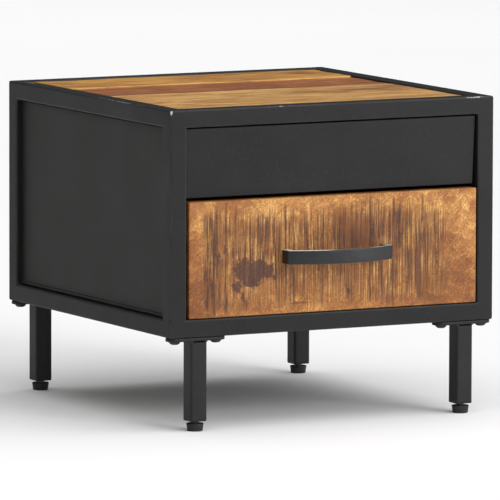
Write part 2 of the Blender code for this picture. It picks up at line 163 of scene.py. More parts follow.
FLOOR_REACH = 60.0
floor_finish, tree, shader = new_finish("pale_floor")
cloud = noise(tree, place(tree), 0.7, 2)
link(tree, ramp(tree, cloud, (0.2, (0.90, 0.90, 0.90, 1)), (0.8, (0.94, 0.94, 0.94, 1))),
     shader, "Base Color")
shader.inputs["Roughness"].default_value = 0.9
shader.inputs["Specular IOR Level"].default_value = 0.1
reach = np.linspace(-FLOOR_REACH, FLOOR_REACH, 3)
across, along = np.meshgrid(reach, reach)
floor = mesh_object("studio_floor", np.stack([across, along, 0 * across], -1).reshape(-1, 3),
                    grid_quads(3, 3), floor_finish)

world = bpy.data.worlds.new("surround")
world.use_nodes = True
bpy.context.scene.world = world
tree = world.node_tree
heading = add(tree, "SeparateXYZ", {0: add(tree, "TexCoord").outputs["Generated"]})
height = ramp(tree, heading.outputs[2],
              (0.0, (0.22, 0.22, 0.22, 1)), (0.12, (0.34, 0.34, 0.34, 1)),
              (0.45, (1.0, 1.0, 1.01, 1)), (1.0, (1.5, 1.5, 1.52, 1)))
from_left = sums(tree, "MULTIPLY_ADD", heading.outputs[1], -0.4,
                 times(tree, heading.outputs[0], 0.9))
side_glow = ramp(tree, span(tree, from_left, -0.9, 0.7), (0.0, (0.25, 0.25, 0.22, 1)),
                 (1.0, (1.0, 1.0, 1.02, 1)))
glow = blend(tree, 1.0, height, side_glow, "MULTIPLY")
behind = sums(tree, "MULTIPLY_ADD", heading.outputs[1], 0.88,
              times(tree, heading.outputs[0], 0.47))
glow = blend(tree, span(tree, behind, 0.1, 0.75, 0.0, 0.8), glow, (0.02, 0.02, 0.02, 1))
background = tree.nodes["Background"]
link(tree, glow, background, "Color")
background.inputs["Strength"].default_value = 1.0


def lamp(kind, name, where, aim, size, power):
    """A soft lamp at a point, facing another: a square panel, or a far one like the sun
    whose size is the angle that it fills."""
    data = bpy.data.lights.new(name, kind)
    if kind == "SUN":
        data.angle = size
    else:
        data.shape = "SQUARE"
        data.size = size
    data.energy = power
    made = bpy.data.objects.new(name, data)
    bpy.context.scene.collection.objects.link(made)
    away = np.array(where, float) - np.array(aim, float)
    away /= np.linalg.norm(away)
    side = np.cross((0, 0, 1), away)
    side /= np.linalg.norm(side)
    made.matrix_world = Matrix([[side[i], np.cross(away, side)[i], away[i], where[i]]
                                for i in range(3)] + [[0, 0, 0, 1]])


lamp("SUN", "front_lamp", (0.6, -2.0, 1.15), (0, 0, 0.2), np.radians(26), 1.02)
lamp("SUN", "overhead_lamp", (0.3, -0.3, 3.0), (0, 0, 0.2), np.radians(80), 0.9)
lamp("AREA", "right_lamp", (1.0, -1.2, 0.5), (0.15, -0.2, 0.2), 0.8, 5)
lamp("AREA", "left_lamp", (-0.85, -0.5, 0.22), (-0.2, -0.15, 0.15), 0.5, 0.15)

camera_data = bpy.data.cameras.new("camera")
camera_data.sensor_width = 36
camera_data.lens = 548.1
camera_data.clip_end = 80
camera = bpy.data.objects.new("camera", camera_data)
bpy.context.scene.collection.objects.link(camera)
TURN, DIP, ROLL = np.radians([27.721, 6.4996, 0.152])
camera.matrix_world = (Matrix.Translation((-3.92263, -7.45364, 1.13078))
                       @ Matrix.Rotation(-TURN, 4, "Z")
                       @ Matrix.Rotation(np.pi / 2 - DIP, 4, "X")
                       @ Matrix.Rotation(ROLL, 4, "Z"))
bpy.context.scene.camera = camera
bpy.context.scene.view_settings.view_transform = "Standard"


# The welded box: twelve lengths of square tube, butt-welded, ground flush and powder-coated
# black, so the whole box reads as one piece. The coat is painted greyer along the edges,
# partly wear and partly a painted highlight, it is knocked through where a corner weld was
# ground back, and long painted highlight lines run along the front and left top edges.

TUBE_EDGE = 0.0019
box_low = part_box("bottom_rail_front")[0]
box_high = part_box("top_rail_rear")[1]
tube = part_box("bottom_rail_front")[1][2] - box_low[2]


def painted(tree, name):
    """A number kept on the piece's own points."""
    return add(tree, "Attribute", attribute_name=name).outputs["Fac"]


def relief(tree, shader, height, distance):
    """Fine relief on a shader, where a height of 1 stands up by the distance."""
    made = add(tree, "Bump", {"Height": height, "Distance": distance, "Strength": 1.0})
    link(tree, made.outputs[0], shader, "Normal")


def black_coat(name, dark, light, rough, specular):
    """Powder coat: cloudy black with an orange-peel skin, greyer along every edge, partly wear
    and partly a painted highlight, and almost white where it is knocked through and along
    painted highlight lines."""
    finish, tree, shader = new_finish(name)
    where = place(tree)
    cloud = noise(tree, where, 16, 8, 0.62)
    fleck = noise(tree, where, 260, 3, 0.6)
    coat = ramp(tree, cloud, (0.32, dark), (0.68, light))
    coat = blend(tree, span(tree, fleck, 0.55, 0.75, 0, 0.12), coat, linear(74, 74, 75))
    # Edges painted greyer, partly wear and partly a painted highlight on the rounding, broken up by
    # noise
    rubbed = noise(tree, where, 30, 2, 0.5)
    edge = times(tree, painted(tree, "edge"), span(tree, rubbed, 0.3, 0.7, 0.3, 1.0))
    coat = blend(tree, times(tree, edge, 0.20), coat, linear(104, 104, 103))
    # Near white where the coat is knocked through, and along painted highlight lines on the top
    # edges
    patchy = sums(tree, "MULTIPLY_ADD", noise(tree, where, 420, 4, 0.7), 0.9,
                  sums(tree, "SUBTRACT", painted(tree, "scuff"), 0.95))
    bare_and_highlight = span(tree, patchy, 0.0, 0.22)
    coat = blend(tree, bare_and_highlight, coat, linear(196, 196, 194))
    link(tree, coat, shader, "Base Color")
    link(tree, span(tree, cloud, 0.3, 0.7, *rough), shader, "Roughness")
    shader.inputs["Specular IOR Level"].default_value = specular
    skin = sums(tree, "MULTIPLY_ADD", noise(tree, where, 700, 2), 0.5,
                times(tree, cloud, 1.6))
    relief(tree, shader, sums(tree, "SUBTRACT", skin, bare_and_highlight), 0.00012)
    return finish


frame_coat = black_coat("frame_coat", linear(25, 25, 26), linear(34, 34, 35), (0.42, 0.56), 0.2)


def declare(made, body, slot, *nodes):
    """What a finished piece rides on and the nodes it stands for, which are hidden. The slot of its
    finish is not used.
    """
    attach(made, body)
    if nodes:
        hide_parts(*nodes)


def tube_lines(low, high, count):
    """Grid lines along one side of the box: its two tubes' faces, a line just past each
    rounding, and even lines between."""
    past = 0.0032
    outer = np.array([0, past, tube / 2, tube - past, tube])
    middle = np.linspace(low + tube + past, high - tube - past, count)
    return np.concatenate([low + outer, middle, high - outer[::-1]])


def box_skin(lines):
    """The skin of a box frame. The grid's cells are filled where at least two of their three
    directions lie within a tube, and a face stands wherever a filled cell meets a bare one."""
    within = [(centres < centres.min() + tube) | (centres > centres.max() - tube)
              for centres in [(line[1:] + line[:-1]) / 2 for line in lines]]
    counts = (within[0][:, None, None].astype(int) + within[1][None, :, None]
              + within[2][None, None, :])
    filled = np.pad(counts >= 2, 1)
    shape = [len(line) for line in lines]
    index = np.arange(np.prod(shape)).reshape(shape)
    quads = []
    for axis in range(3):
        solid = np.moveaxis(filled, axis, 0)
        corners = np.moveaxis(index, axis, 0)
        change = solid[1:, 1:-1, 1:-1].astype(int) - solid[:-1, 1:-1, 1:-1]
        ring = np.stack([corners[:, :-1, :-1], corners[:, 1:, :-1], corners[:, 1:, 1:],
                         corners[:, :-1, 1:]], -1)
        quads += [ring[change == -1], ring[change == 1][:, ::-1]]
        if axis == 1:
            quads[-2:] = [quads[-2][:, ::-1], quads[-1][:, ::-1]]
    quads = np.concatenate(quads)
    grid = np.stack(np.meshgrid(*lines, indexing="ij"), -1).reshape(-1, 3)
    used, quads = np.unique(quads, return_inverse=True)
    return grid[used], quads.reshape(-1, 4)


def apply_modifiers(made):
    """Carries an object's modifiers into its mesh."""
    graph = bpy.context.evaluated_depsgraph_get()
    mesh = bpy.data.meshes.new_from_object(made.evaluated_get(graph))
    made.modifiers.clear()
    made.data = mesh


def points_of(mesh):
    """A mesh's points as an array."""
    points = np.zeros(len(mesh.vertices) * 3)
    mesh.vertices.foreach_get("co", points)
    return points.reshape(-1, 3)


def bump_of(points, centre, radii):
    """A soft bump, 1 at its centre and near 0 two radii away: exp of minus the squared
    distance, measured in radii."""
    return np.exp(-(((points - np.array(centre)) / np.array(radii)) ** 2).sum(-1))


def patches(points, spots):
    """The sum of soft bumps, each from its middle, its reach and its strength."""
    return sum(strength * bump_of(points, middle, reach) for middle, reach, strength in spots)


box_lines = [tube_lines(box_low[axis], box_high[axis], 26) for axis in range(3)]
welded_box = mesh_object("welded_box", *box_skin(box_lines), frame_coat)
rounding = welded_box.modifiers.new("rounded_tube", "BEVEL")
rounding.width = TUBE_EDGE
rounding.segments = 3
rounding.limit_method = "ANGLE"
rounding.angle_limit = np.radians(50)
apply_modifiers(welded_box)
points = points_of(welded_box.data)
flat = np.zeros(len(points), bool)
for axis in range(3):
    for level in (box_low[axis], box_low[axis] + tube, box_high[axis] - tube, box_high[axis]):
        flat |= abs(points[:, axis] - level) < 1e-5
left, front, rear, top = box_low[0], box_low[1], box_high[1], box_high[2]
# Middle, reach and strength of each place painted near white: where the coat is knocked or
# rubbed through, and two long painted highlight lines along the top edges
scuff = patches(points, (
    ((left + 0.0004, front + 0.0004, top - 0.002), (0.0014, 0.0018, 0.0035), 0.9),
    ((left, front, top - 0.024), (0.0015, 0.0015, 0.010), 0.6),
    ((left + 0.012, rear - 0.035, top), (0.006, 0.035, 0.004), 0.68),
    ((-left - 0.024, front, top), (0.020, 0.0024, 0.0024), 0.70),
    ((-left, front, top), (0.002, 0.002, 0.002), 0.7),
    # Painted highlight lines along the front and the left top edge
    ((-0.05, front, top), (0.16, 0.0024, 0.0024), 0.54),
    ((left, -0.06, top), (0.0024, 0.14, 0.0024), 0.62)))
# The front left top corner, ground back towards the box's middle
GROUND_BACK = 0.0012
ground = bump_of(points, (left, front, top), (0.007, 0.007, 0.007))
inward = (np.array(box_low) + np.array(box_high)) / 2 - points
inward /= np.linalg.norm(inward, axis=1, keepdims=True)
points += GROUND_BACK * ground[:, None] * inward
welded_box.data.vertices.foreach_set("co", points.ravel())
keep_numbers(welded_box.data, edge=~flat, scuff=scuff)
welded_box.data.shade_smooth()
declare(welded_box, "cabinet", "black_steel",
        *[f"{level}_rail_{side}" for level in ("bottom", "top")
          for side in ("front", "rear", "left", "right")],
        *[f"post_{end}_{side}" for end in ("front", "rear") for side in ("left", "right")])


# The panels: 1.2 mm sheet steel with its long edges folded inwards, set back between the
# tubes and tacked from behind. A pressed bead runs along the bottom edge of the sides and
# back, and the wide faces are never quite flat.

def rounded_outline(corners, softness, steps=4):
    """A closed outline with its corners eased. Each corner gives way to a curve from a point
    on one side to a point on the other: (1-s)(1-s)A + 2s(1-s)C + ssB."""
    corners = np.array(corners, float)
    before = np.roll(corners, 1, 0) - corners
    after = np.roll(corners, -1, 0) - corners
    reach = np.minimum(np.minimum(np.linalg.norm(before, axis=1),
                                  np.linalg.norm(after, axis=1)) * 0.48, softness)[:, None]
    start = corners + reach * before / np.linalg.norm(before, axis=1, keepdims=True)
    end = corners + reach * after / np.linalg.norm(after, axis=1, keepdims=True)
    s = np.linspace(0, 1, steps + 1)[None, :, None]
    curve = ((1 - s) ** 2 * start[:, None] + 2 * s * (1 - s) * corners[:, None]
             + s ** 2 * end[:, None])
    return curve.reshape(-1, 2)


def split_outline(outline, longest):
    """An outline with its long runs divided, so that none is longer than the limit."""
    pieces = []
    for start, end in zip(outline, np.roll(outline, -1, 0)):
        parts = max(1, int(np.ceil(np.linalg.norm(end - start) / longest)))
        pieces.append(start + (end - start) * np.arange(parts)[:, None] / parts)
    return np.concatenate(pieces)


def outward(outline):
    """The outline with its points going round anticlockwise."""
    after = np.roll(outline, -1, 0)
    area = (outline[:, 0] * after[:, 1] - after[:, 0] * outline[:, 1]).sum()
    return outline if area > 0 else outline[::-1]


def closed_rings(rings, count):
    """Faces of rings of points joined in order, with the first and last ring filled in."""
    last = (rings - 1) * count
    return [*grid_quads(rings, count, True), list(range(count))[::-1],
            list(range(last, last + count))]


def carried(outline, stations, axes):
    """A section carried straight along the first named axis, its two coordinates lying along
    the other two, with both ends closed."""
    outline = outward(outline)
    count, rows = len(outline), len(stations)
    points = np.zeros((rows, count, 3))
    points[..., axes[0]] = np.array(stations)[:, None]
    points[..., axes[1]] = outline[None, :, 0]
    points[..., axes[2]] = outline[None, :, 1]
    faces = closed_rings(rows, count)
    if (axes[1] - axes[0]) % 3 != 1:
        faces = [list(face)[::-1] for face in faces]
    return points.reshape(-1, 3), faces


SHEET, BEAD_RISE = 0.0012, 0.0012
BEAD_FOOT, BEAD_HEAD = 0.0018, 0.0042
panel_coat = black_coat("panel_coat", linear(23, 23, 22), linear(31, 31, 28), (0.44, 0.52), 0.2)


def corners_of(node):
    """The low and high corners of a node's box."""
    return [np.array(corner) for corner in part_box(node)]


def wavy(points, low, high, depth):
    """How far a thin panel is out of flat: a slow slanting wave that dies away at the edges
    of every side longer than 30 mm."""
    size = high - low
    share = np.clip((points - low) / np.maximum(size, 1e-6), 0, 1)
    held = np.prod(np.where(size > 0.03, np.sin(np.pi * share), 1), axis=1)
    wave = np.sin(5.1 * share[:, 0] + 4.3 * share[:, 1] + 2.2 * share[:, 2])
    return depth * held * (0.6 + 0.4 * wave)


def folded_panel(node, axis, side, bead):
    """A panel from its node's box. Its section, seen along the long way, is a face with two
    folded edges, and its outer face is dished slightly inwards."""
    low, high = corners_of(node)
    proud = BEAD_RISE if bead else 0.0
    face = high[axis] - proud if side > 0 else low[axis] + proud
    fold = low[axis] if side > 0 else high[axis]
    back = face - side * SHEET
    bottom, top = low[2], high[2]
    corners = [(face, top), (fold, top), (fold, top - SHEET), (back, top - SHEET),
               (back, bottom + SHEET), (fold, bottom + SHEET), (fold, bottom), (face, bottom)]
    softness = [0.0022, 0.0004, 0.0004, 0.001, 0.001, 0.0004, 0.0004, 0.0012]
    if bead:
        out = face + side * BEAD_RISE
        corners += [(face, bottom + BEAD_FOOT), (out, bottom + BEAD_FOOT),
                    (out, bottom + BEAD_HEAD), (face, bottom + BEAD_HEAD)]
        softness += [0.0005, 0.0011, 0.0011, 0.0005]
    outline = split_outline(rounded_outline(corners, np.array(softness)), 0.008)
    long_way = 1 - axis
    stations = np.linspace(low[long_way], high[long_way], 44)
    points, faces = carried(outline, stations, (long_way, axis, 2))
    points[:, axis] -= side * wavy(points, low, high, 0.0005)
    return points, faces


for new_name, node, axis, side in (("folded_side_left", "side_panel_left", 0, -1),
                                   ("folded_side_right", "side_panel_right", 0, 1),
                                   ("folded_back", "back_panel", 1, 1)):
    made = mesh_object(new_name, *folded_panel(node, axis, side, True), panel_coat)
    declare(made, "cabinet", "black_steel", node)


def edge_lines(low, high, edge, count, steps=3):
    """Lines across one side of a rounded box. Those in the rounding stand where the tangent
    of an even angle puts them, then one just past it, then even ones."""
    turn = edge * (1 - np.tan(np.linspace(np.pi / 4, 0, steps + 1)))
    turn = np.append(turn, 2 * edge)
    middle = np.linspace(low + 2 * edge, high - 2 * edge, count + 1)[1:-1]
    return np.concatenate([low + turn, middle, high - turn[::-1]])


def rounded_box(low, high, edge, counts=(1, 1, 1), steps=3):
    """A box with rounded edges and corners: each point of a gridded box is drawn to one
    distance, the edge radius, from a smaller box inside. Returns its points, its faces and
    how far each point lies into a rounding, 0 to 1."""
    low, high = np.array(low, float), np.array(high, float)
    lines = [edge_lines(low[axis], high[axis], edge, counts[axis], steps) for axis in range(3)]
    points, quads, total = [], [], 0
    for axis in range(3):
        first, second = (axis + 1) % 3, (axis + 2) % 3
        across, along = np.meshgrid(lines[first], lines[second], indexing="ij")
        for level in (low[axis], high[axis]):
            face = np.empty((*across.shape, 3))
            face[..., first], face[..., second], face[..., axis] = across, along, level
            ring = grid_quads(*across.shape)
            points.append(face.reshape(-1, 3))
            quads.append(total + (ring if level == low[axis] else ring[:, ::-1]))
            total += face.size // 3
    points, quads = np.concatenate(points), np.concatenate(quads)
    _, first, merged = np.unique(np.round(points, 7), axis=0, return_index=True,
                                 return_inverse=True)
    points, quads = points[first], merged.ravel()[quads]
    core = np.clip(points, low + edge, high - edge)
    away = points - core
    away /= np.maximum(np.linalg.norm(away, axis=1, keepdims=True), 1e-12)
    rounding_share = np.clip((1 - abs(away).max(1)) / 0.29, 0, 1)
    return core + edge * away, quads, rounding_share


CUT_EDGE = 0.00028
low, high = corners_of("bottom_panel")
points, quads, rounding_share = rounded_box(low, high, CUT_EDGE, (30, 30, 1), 2)
points[:, 2] -= wavy(points, low, high, 0.0008)
made = mesh_object("sheet_bottom", points, quads, panel_coat, edge=rounding_share)
declare(made, "cabinet", "black_steel", "bottom_panel")


# The fascia: a folded strip of the same sheet over the drawer, set back 5 mm and tacked
# at the left. It was cut a little out of square, so the slit at its right-hand end widens
# downwards.

LONG_AT_TOP, OUT_OF_SQUARE = 0.0002, 0.0032
fascia_coat = black_coat("fascia_coat", linear(24, 24, 25), linear(31, 31, 32), (0.42, 0.5), 0.2)
low, high = corners_of("fascia")
points, faces = folded_panel("fascia", 1, -1, False)
lower = np.clip((high[2] - points[:, 2]) / (high[2] - low[2]), 0, 1)
righter = np.clip((points[:, 0] - low[0]) / (high[0] - low[0]), 0, 1)
points[:, 0] += righter * (LONG_AT_TOP - OUT_OF_SQUARE * lower)
made = mesh_object("folded_fascia", points, faces, fascia_coat)
declare(made, "cabinet", "black_steel", "fascia")


# The top: four planed hardwood boards laid left to right on two flat bars, oiled and
# lightly sanded. No two are the same colour, their tops stand at slightly different
# heights, and their right-hand ends were cut by eye.

def ease(value, start, end):
    """0 before start, 1 after end, with a smooth step between."""
    share = np.clip((value - start) / (end - start), 0, 1)
    return share * share * (3 - 2 * share)


def smooth_noise(across, along, cells, seed):
    """Slow random hills over two coordinates from 0 to 1: a small grid of random heights
    read with smooth steps between its points."""
    heights = np.random.default_rng(seed).normal(size=(cells[0] + 2, cells[1] + 2))
    u, v = np.clip(across, 0, 1) * cells[0], np.clip(along, 0, 1) * cells[1]
    i, j = u.astype(int), v.astype(int)
    s, t = u - i, v - j
    s, t = s * s * (3 - 2 * s), t * t * (3 - 2 * t)
    return ((heights[i, j] * (1 - s) + heights[i + 1, j] * s) * (1 - t)
            + (heights[i, j + 1] * (1 - s) + heights[i + 1, j + 1] * s) * t)


def board_finish(name, pale, mid, dark, heart, shift):
    """Oiled hardwood with its grain along X: long fibres, slow bands of colour, short dark
    pores, and darker heartwood rings wherever the board's own heart number says."""
    finish, tree, shader = new_finish(name)
    fibre = noise(tree, place(tree, (9, 300, 90), shift=shift), 1.0, 6, 0.68, 0.5)
    band = noise(tree, place(tree, (3, 70, 40), shift=shift), 1.0, 5, 0.6, 0.9)
    figure = noise(tree, place(tree, (9, 34, 24), shift=shift), 1.0, 6, 0.62, 1.4)
    tone = sums(tree, "MULTIPLY_ADD", fibre, 0.62, times(tree, band, 0.38))
    tone = sums(tree, "MULTIPLY_ADD", sums(tree, "SUBTRACT", figure, 0.5), 0.75, tone)
    wood = ramp(tree, tone, (0.30, dark), (0.46, mid), (0.60, pale),
                (0.78, tuple(min(1, 1.15 * value) for value in pale[:3]) + (1,)))
    rings = add(tree, "TexWave", {"Vector": place(tree, (9, 60, 40), shift=shift), "Scale": 0.8,
                                  "Distortion": 5.0, "Detail": 3.0, "Detail Scale": 1.4},
                wave_type="RINGS", rings_direction="SPHERICAL").outputs[1]
    ringed = span(tree, rings, 0.1, 0.75, 0.45, 1.0)
    hearty = times(tree, painted(tree, "heart"), ringed)
    wood = blend(tree, times(tree, hearty, 0.85, clamp=True), wood, heart)
    pores = noise(tree, place(tree, (110, 1300, 400), shift=shift), 1.0, 2, 0.5)
    pore = span(tree, pores, 0.58, 0.68)
    wood = blend(tree, times(tree, pore, 0.5), wood, linear(92, 56, 32))
    edge = times(tree, painted(tree, "edge"), 0.3)
    wood = blend(tree, edge, wood, linear(232, 196, 140))
    link(tree, wood, shader, "Base Color")
    link(tree, span(tree, fibre, 0.3, 0.7, 0.5, 0.36), shader, "Roughness")
    shader.inputs["Specular IOR Level"].default_value = 0.35
    relief(tree, shader, sums(tree, "SUBTRACT", fibre, times(tree, pore, 0.8)), 0.00025)
    return finish


gold = (linear(222, 174, 106), linear(190, 140, 78), linear(140, 90, 48))
red_brown = (linear(176, 112, 62), linear(146, 84, 44), linear(108, 58, 34))
warm_gold = (linear(216, 162, 80), linear(184, 128, 58), linear(134, 84, 42))
# Each board's node, tones, heart colour, how far it lies below flush, and the middle, reach
# and strength of its heartwood
boards = (
    ("top_board_1", gold, linear(140, 96, 56), 0.0000,
     [((0.10, -0.14), (0.03, 0.02), 0.35), ((-0.05, -0.10), (0.05, 0.02), 0.4)]),
    ("top_board_2", gold, linear(130, 78, 48), 0.0004,
     [((0.078, -0.040), (0.072, 0.020), 1.3), ((0.165, -0.03), (0.03, 0.03), 0.8),
      ((-0.165, -0.03), (0.02, 0.03), 0.6)]),
    ("top_board_3", red_brown, linear(120, 72, 46), 0.0008,
     [((-0.13, 0.03), (0.06, 0.025), 0.6), ((0.03, 0.065), (0.03, 0.02), 0.7),
      ((0.12, 0.02), (0.07, 0.015), 0.45)]),
    ("top_board_4", warm_gold, linear(126, 78, 52), -0.0005,
     [((0.150, 0.165), (0.018, 0.022), 1.3), ((-0.16, 0.16), (0.02, 0.02), 0.6),
      ((0.0, 0.155), (0.12, 0.012), 0.4)]),
)
for number, (node, colours, heart_colour, sunk, hearts) in enumerate(boards, 1):
    low, high = corners_of(node)
    points, quads, rounding_share = rounded_box(low, high, 0.0009, (120, 34, 3), 3)
    share_x = (points[:, 0] - low[0]) / (high[0] - low[0])
    share_y = (points[:, 1] - low[1]) / (high[1] - low[1])
    heart = patches(points[:, :2], hearts)
    heart = heart * (1 + 0.3 * smooth_noise(share_x, share_y, (9, 4), 40 + number))
    upper = np.clip((points[:, 2] - low[2]) / (high[2] - low[2]), 0, 1)
    hollow = (0.0002 * smooth_noise(share_x, share_y, (7, 3), number)
              + 0.00005 * smooth_noise(share_x, share_y, (30, 30), 10 + number))
    points[:, 2] -= upper * (sunk + np.clip(0.0003 - hollow, 0, 0.001))
    ragged = 0.0011 * (1 + np.tanh(smooth_noise(share_y, 0 * share_y, (3, 1), 20 + number)))
    points[:, 0] -= ragged * np.clip(share_x * 3 - 2, 0, 1)
    if node == "top_board_2":
        pale_edge = ease(share_y, 0.93, 0.98) * (1 - ease(share_x, 0.52, 0.60)) * 2.6
        rounding_share = np.maximum(rounding_share, pale_edge)
    made = mesh_object(f"board_{number}", points, quads,
                       board_finish(f"board_wood_{number}", *colours, heart_colour,
                                    (3.1 * number, 1.7 * number, 0.9 * number)),
                       edge=rounding_share, heart=heart)
    declare(made, "cabinet", "top_wood", node)

for side in ("left", "right"):
    for node, new_name in ((f"cross_bar_{side}", f"flat_bar_{side}"),
                           (f"runner_bar_{side}", f"slide_bar_{side}")):
        points, quads, rounding_share = rounded_box(*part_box(node), 0.0006, (2, 12, 2), 2)
        made = mesh_object(new_name, points, quads, frame_coat, edge=rounding_share)
        declare(made, "cabinet", "black_steel", node)


# The drawer front: one thick board, its face left rough from the saw with upright blade
# marks that took the stain dark, and then sanded pale round the border. A spalted blotch
# lies to the left and the best of the gold to the right.

low, high = corners_of("drawer_front")
points, quads, rounding_share = rounded_box(low, high, 0.0011, (380, 3, 100), 3)
# Millimetres from the box's left side and up from its underside
across = (points[:, 0] - box_low[0]) * 1000
up = (points[:, 2] - box_low[2]) * 1000
# The same as shares of 400 and 150 mm
share_x, share_up = across / 400, up / 150
wander_x = smooth_noise(share_x, share_up, (26, 9), 3)
wander_z = smooth_noise(share_x, share_up, (30, 8), 4)
ragged_top = smooth_noise(share_x, 0 * up, (90, 1), 5)
ragged_foot = smooth_noise(share_x, 0 * up, (90, 1), 6)
rough = (ease(across + 1.5 * wander_x, 36, 46) * (1 - ease(across + 4 * wander_x, 330, 352))
         * ease(up + 5 * ragged_foot, 22, 40) * (1 - ease(up + 5 * ragged_top, 120, 142)))


def saw_marks(across, up, marks):
    """Upright marks: the sum, over all marks, of a bell across each one's width times a run
    between its ends that fades at both."""
    centre, width, foot, head, depth = marks
    field = np.zeros(len(across))
    for start in range(0, len(across), 20000):
        x = across[start:start + 20000, None]
        z = up[start:start + 20000, None]
        bell = np.exp(-((x - centre) / width) ** 4)
        run = ease(z, foot - 5, foot + 5) * (1 - ease(z, head - 7, head + 7))
        field[start:start + 20000] = (bell * run) @ depth
    return field


draw = np.random.default_rng(12)
MARKS = 300
centre = draw.uniform(40, 346, MARKS)
length = draw.gamma(2.2, 17, MARKS)
head = np.minimum(draw.normal(112, 18, MARKS), 140)
small_marks = (centre, draw.gamma(2.0, 0.22, MARKS) + 0.55, head - length, head,
               draw.uniform(0.15, 0.65, MARKS))
# centre, half width, foot, head and depth of the strongest marks
strong_marks = np.array([
    (45, 1.3, 28, 100, 0.9), (49, 0.8, 40, 132, 0.7), (54, 1.9, 22, 98, 0.95),
    (56, 1.7, 100, 138, 0.7), (61, 1.0, 30, 90, 0.7), (68, 1.0, 24, 144, 1.1),
    (80, 1.6, 104, 142, 0.5), (89, 0.8, 26, 142, 0.6), (97, 1.2, 96, 120, 0.5),
    (103, 1.2, 100, 124, 0.4), (113, 1.4, 98, 132, 0.7), (118, 2.2, 100, 126, 0.7),
    (127, 0.9, 92, 128, 0.7), (134, 1.5, 88, 122, 0.8), (141, 0.8, 34, 142, 1.0),
    (146, 0.8, 90, 126, 0.5), (151, 1.0, 30, 136, 0.95), (160, 0.9, 86, 134, 0.8),
    (166, 0.8, 92, 126, 0.6), (173, 0.8, 90, 134, 0.7), (181, 0.9, 88, 128, 0.5),
    (187, 1.7, 26, 130, 0.75), (194, 0.8, 92, 132, 0.5), (201, 1.3, 96, 130, 0.95),
    (208, 0.9, 86, 136, 0.8), (214, 1.4, 84, 132, 0.7), (219, 1.2, 32, 62, 0.8),
    (223, 1.3, 26, 138, 0.7), (228, 1.0, 92, 124, 0.5), (235, 1.5, 94, 130, 0.6),
    (240, 0.9, 90, 134, 0.6), (246, 1.3, 28, 144, 1.0), (256, 1.1, 94, 136, 0.85),
    (263, 0.9, 90, 134, 0.7), (270, 1.2, 96, 128, 0.7), (275, 1.3, 20, 142, 0.95),
    (283, 1.8, 88, 134, 0.75), (290, 1.2, 92, 126, 0.6), (298, 1.2, 40, 130, 0.8),
    (304, 1.4, 42, 90, 0.6), (311, 1.5, 112, 142, 0.95), (318, 0.9, 50, 110, 0.6),
    (324, 0.8, 58, 104, 0.5), (331, 0.9, 56, 122, 0.5), (338, 0.8, 70, 118, 0.4),
    (164, 1.8, 40, 66, 0.5), (153, 3.0, 42, 66, 0.5), (200, 2.0, 44, 62, 0.4),
    (260, 1.0, 30, 72, 0.5), (235, 0.8, 30, 70, 0.4), (294, 0.9, 36, 84, 0.5),
]).T
fine = saw_marks(across, up, small_marks) * rough
bold = saw_marks(across + 0.4 * wander_x, up, strong_marks)
saw = np.clip(fine * 0.8 + bold, 0, 1.3)

# Middle, reach and strength of each lobe of the spalted blotch
blotch_place = np.stack([across + 1.5 * wander_x, up + 1.5 * wander_z], -1)
blotch = np.max([strength * bump_of(blotch_place, middle, reach) for middle, reach, strength in (
    ((90, 71), (15, 16), 1.0), ((112, 70), (20, 12), 1.0), ((100, 62), (20, 12), 0.95),
    ((60, 88), (8, 12), 0.62), ((50, 48), (5, 22), 0.62), ((67, 96), (5, 8), 0.6),
    ((84, 52), (9, 9), 0.9), ((88, 40), (4, 14), 0.65), ((128, 62), (12, 7), 0.6),
    ((150, 46), (12, 9), 0.55), ((218, 44), (7, 12), 0.55), ((352, 34), (8, 4), 0.5))], axis=0)
blotch *= 1 - 0.75 * bump_of(blotch_place, (104, 50), (16, 4))
# Middle, reach and strength of the soft brown and the golden places; the brown one at
# (232, 94) is painted shade by the handle
tone_place = np.stack([across + 3 * wander_x, up + 3 * wander_z], -1)
brown = patches(tone_place, (
    ((124, 108), (20, 16), 0.35), ((232, 108), (24, 24), 0.75), ((280, 114), (14, 26), 0.60),
    ((205, 104), (12, 26), 0.40), ((154, 52), (18, 12), 0.45), ((222, 46), (14, 18), 0.40),
    ((51, 54), (10, 34), 0.50), ((58, 118), (12, 20), 0.30), ((345, 46), (40, 20), 0.75),
    ((304, 66), (14, 36), 0.25), ((340, 86), (14, 14), 0.55), ((136, 66), (12, 10), 0.35),
    ((26, 92), (10, 10), 0.60), ((345, 26), (40, 8), 0.40), ((190, 58), (70, 18), 0.15),
    ((120, 28), (110, 7), 0.40), ((300, 30), (80, 6), 0.35), ((82, 130), (10, 22), 0.30),
    # The patch at (232, 94) is painted shade by the handle
    ((364, 64), (14, 34), 0.60), ((44, 52), (26, 20), 0.30), ((232, 94), (14, 12), 0.50),
    ((354, 90), (10, 14), 0.5), ((30, 46), (16, 26), 0.75), ((56, 30), (40, 8), 0.25),
    ((260, 40), (40, 20), 0.20), ((374, 66), (10, 14), 0.25), ((75, 146), (22, 4), 0.3),
    ((24, 26), (14, 14), 0.5)))
golden = patches(tone_place, (
    ((366, 104), (22, 34), 0.9), ((112, 132), (42, 12), 0.65), ((170, 136), (60, 12), 0.40),
    ((34, 124), (16, 22), 0.35), ((340, 130), (40, 16), 0.45), ((210, 27), (60, 7), 0.45),
    ((101, 52), (13, 5), 0.9), ((262, 138), (50, 9), 0.25), ((108, 94), (14, 12), 0.5),
    ((146, 100), (10, 22), 0.3), ((312, 120), (14, 14), 0.2), ((372, 40), (10, 14), 0.2)))
sanded = 1 - rough
# A split along the grain near the foot, and one slanting cut up at the top edge
crack = bump_of(np.stack([across, up - 0.02 * (across - 156)], -1), (158, 31), (20, 0.9))
slash = np.exp(-(((up - 148) + (across - 94)) / 1.4) ** 2) * (
    ease(across, 92, 96) * (1 - ease(across, 116, 124)))

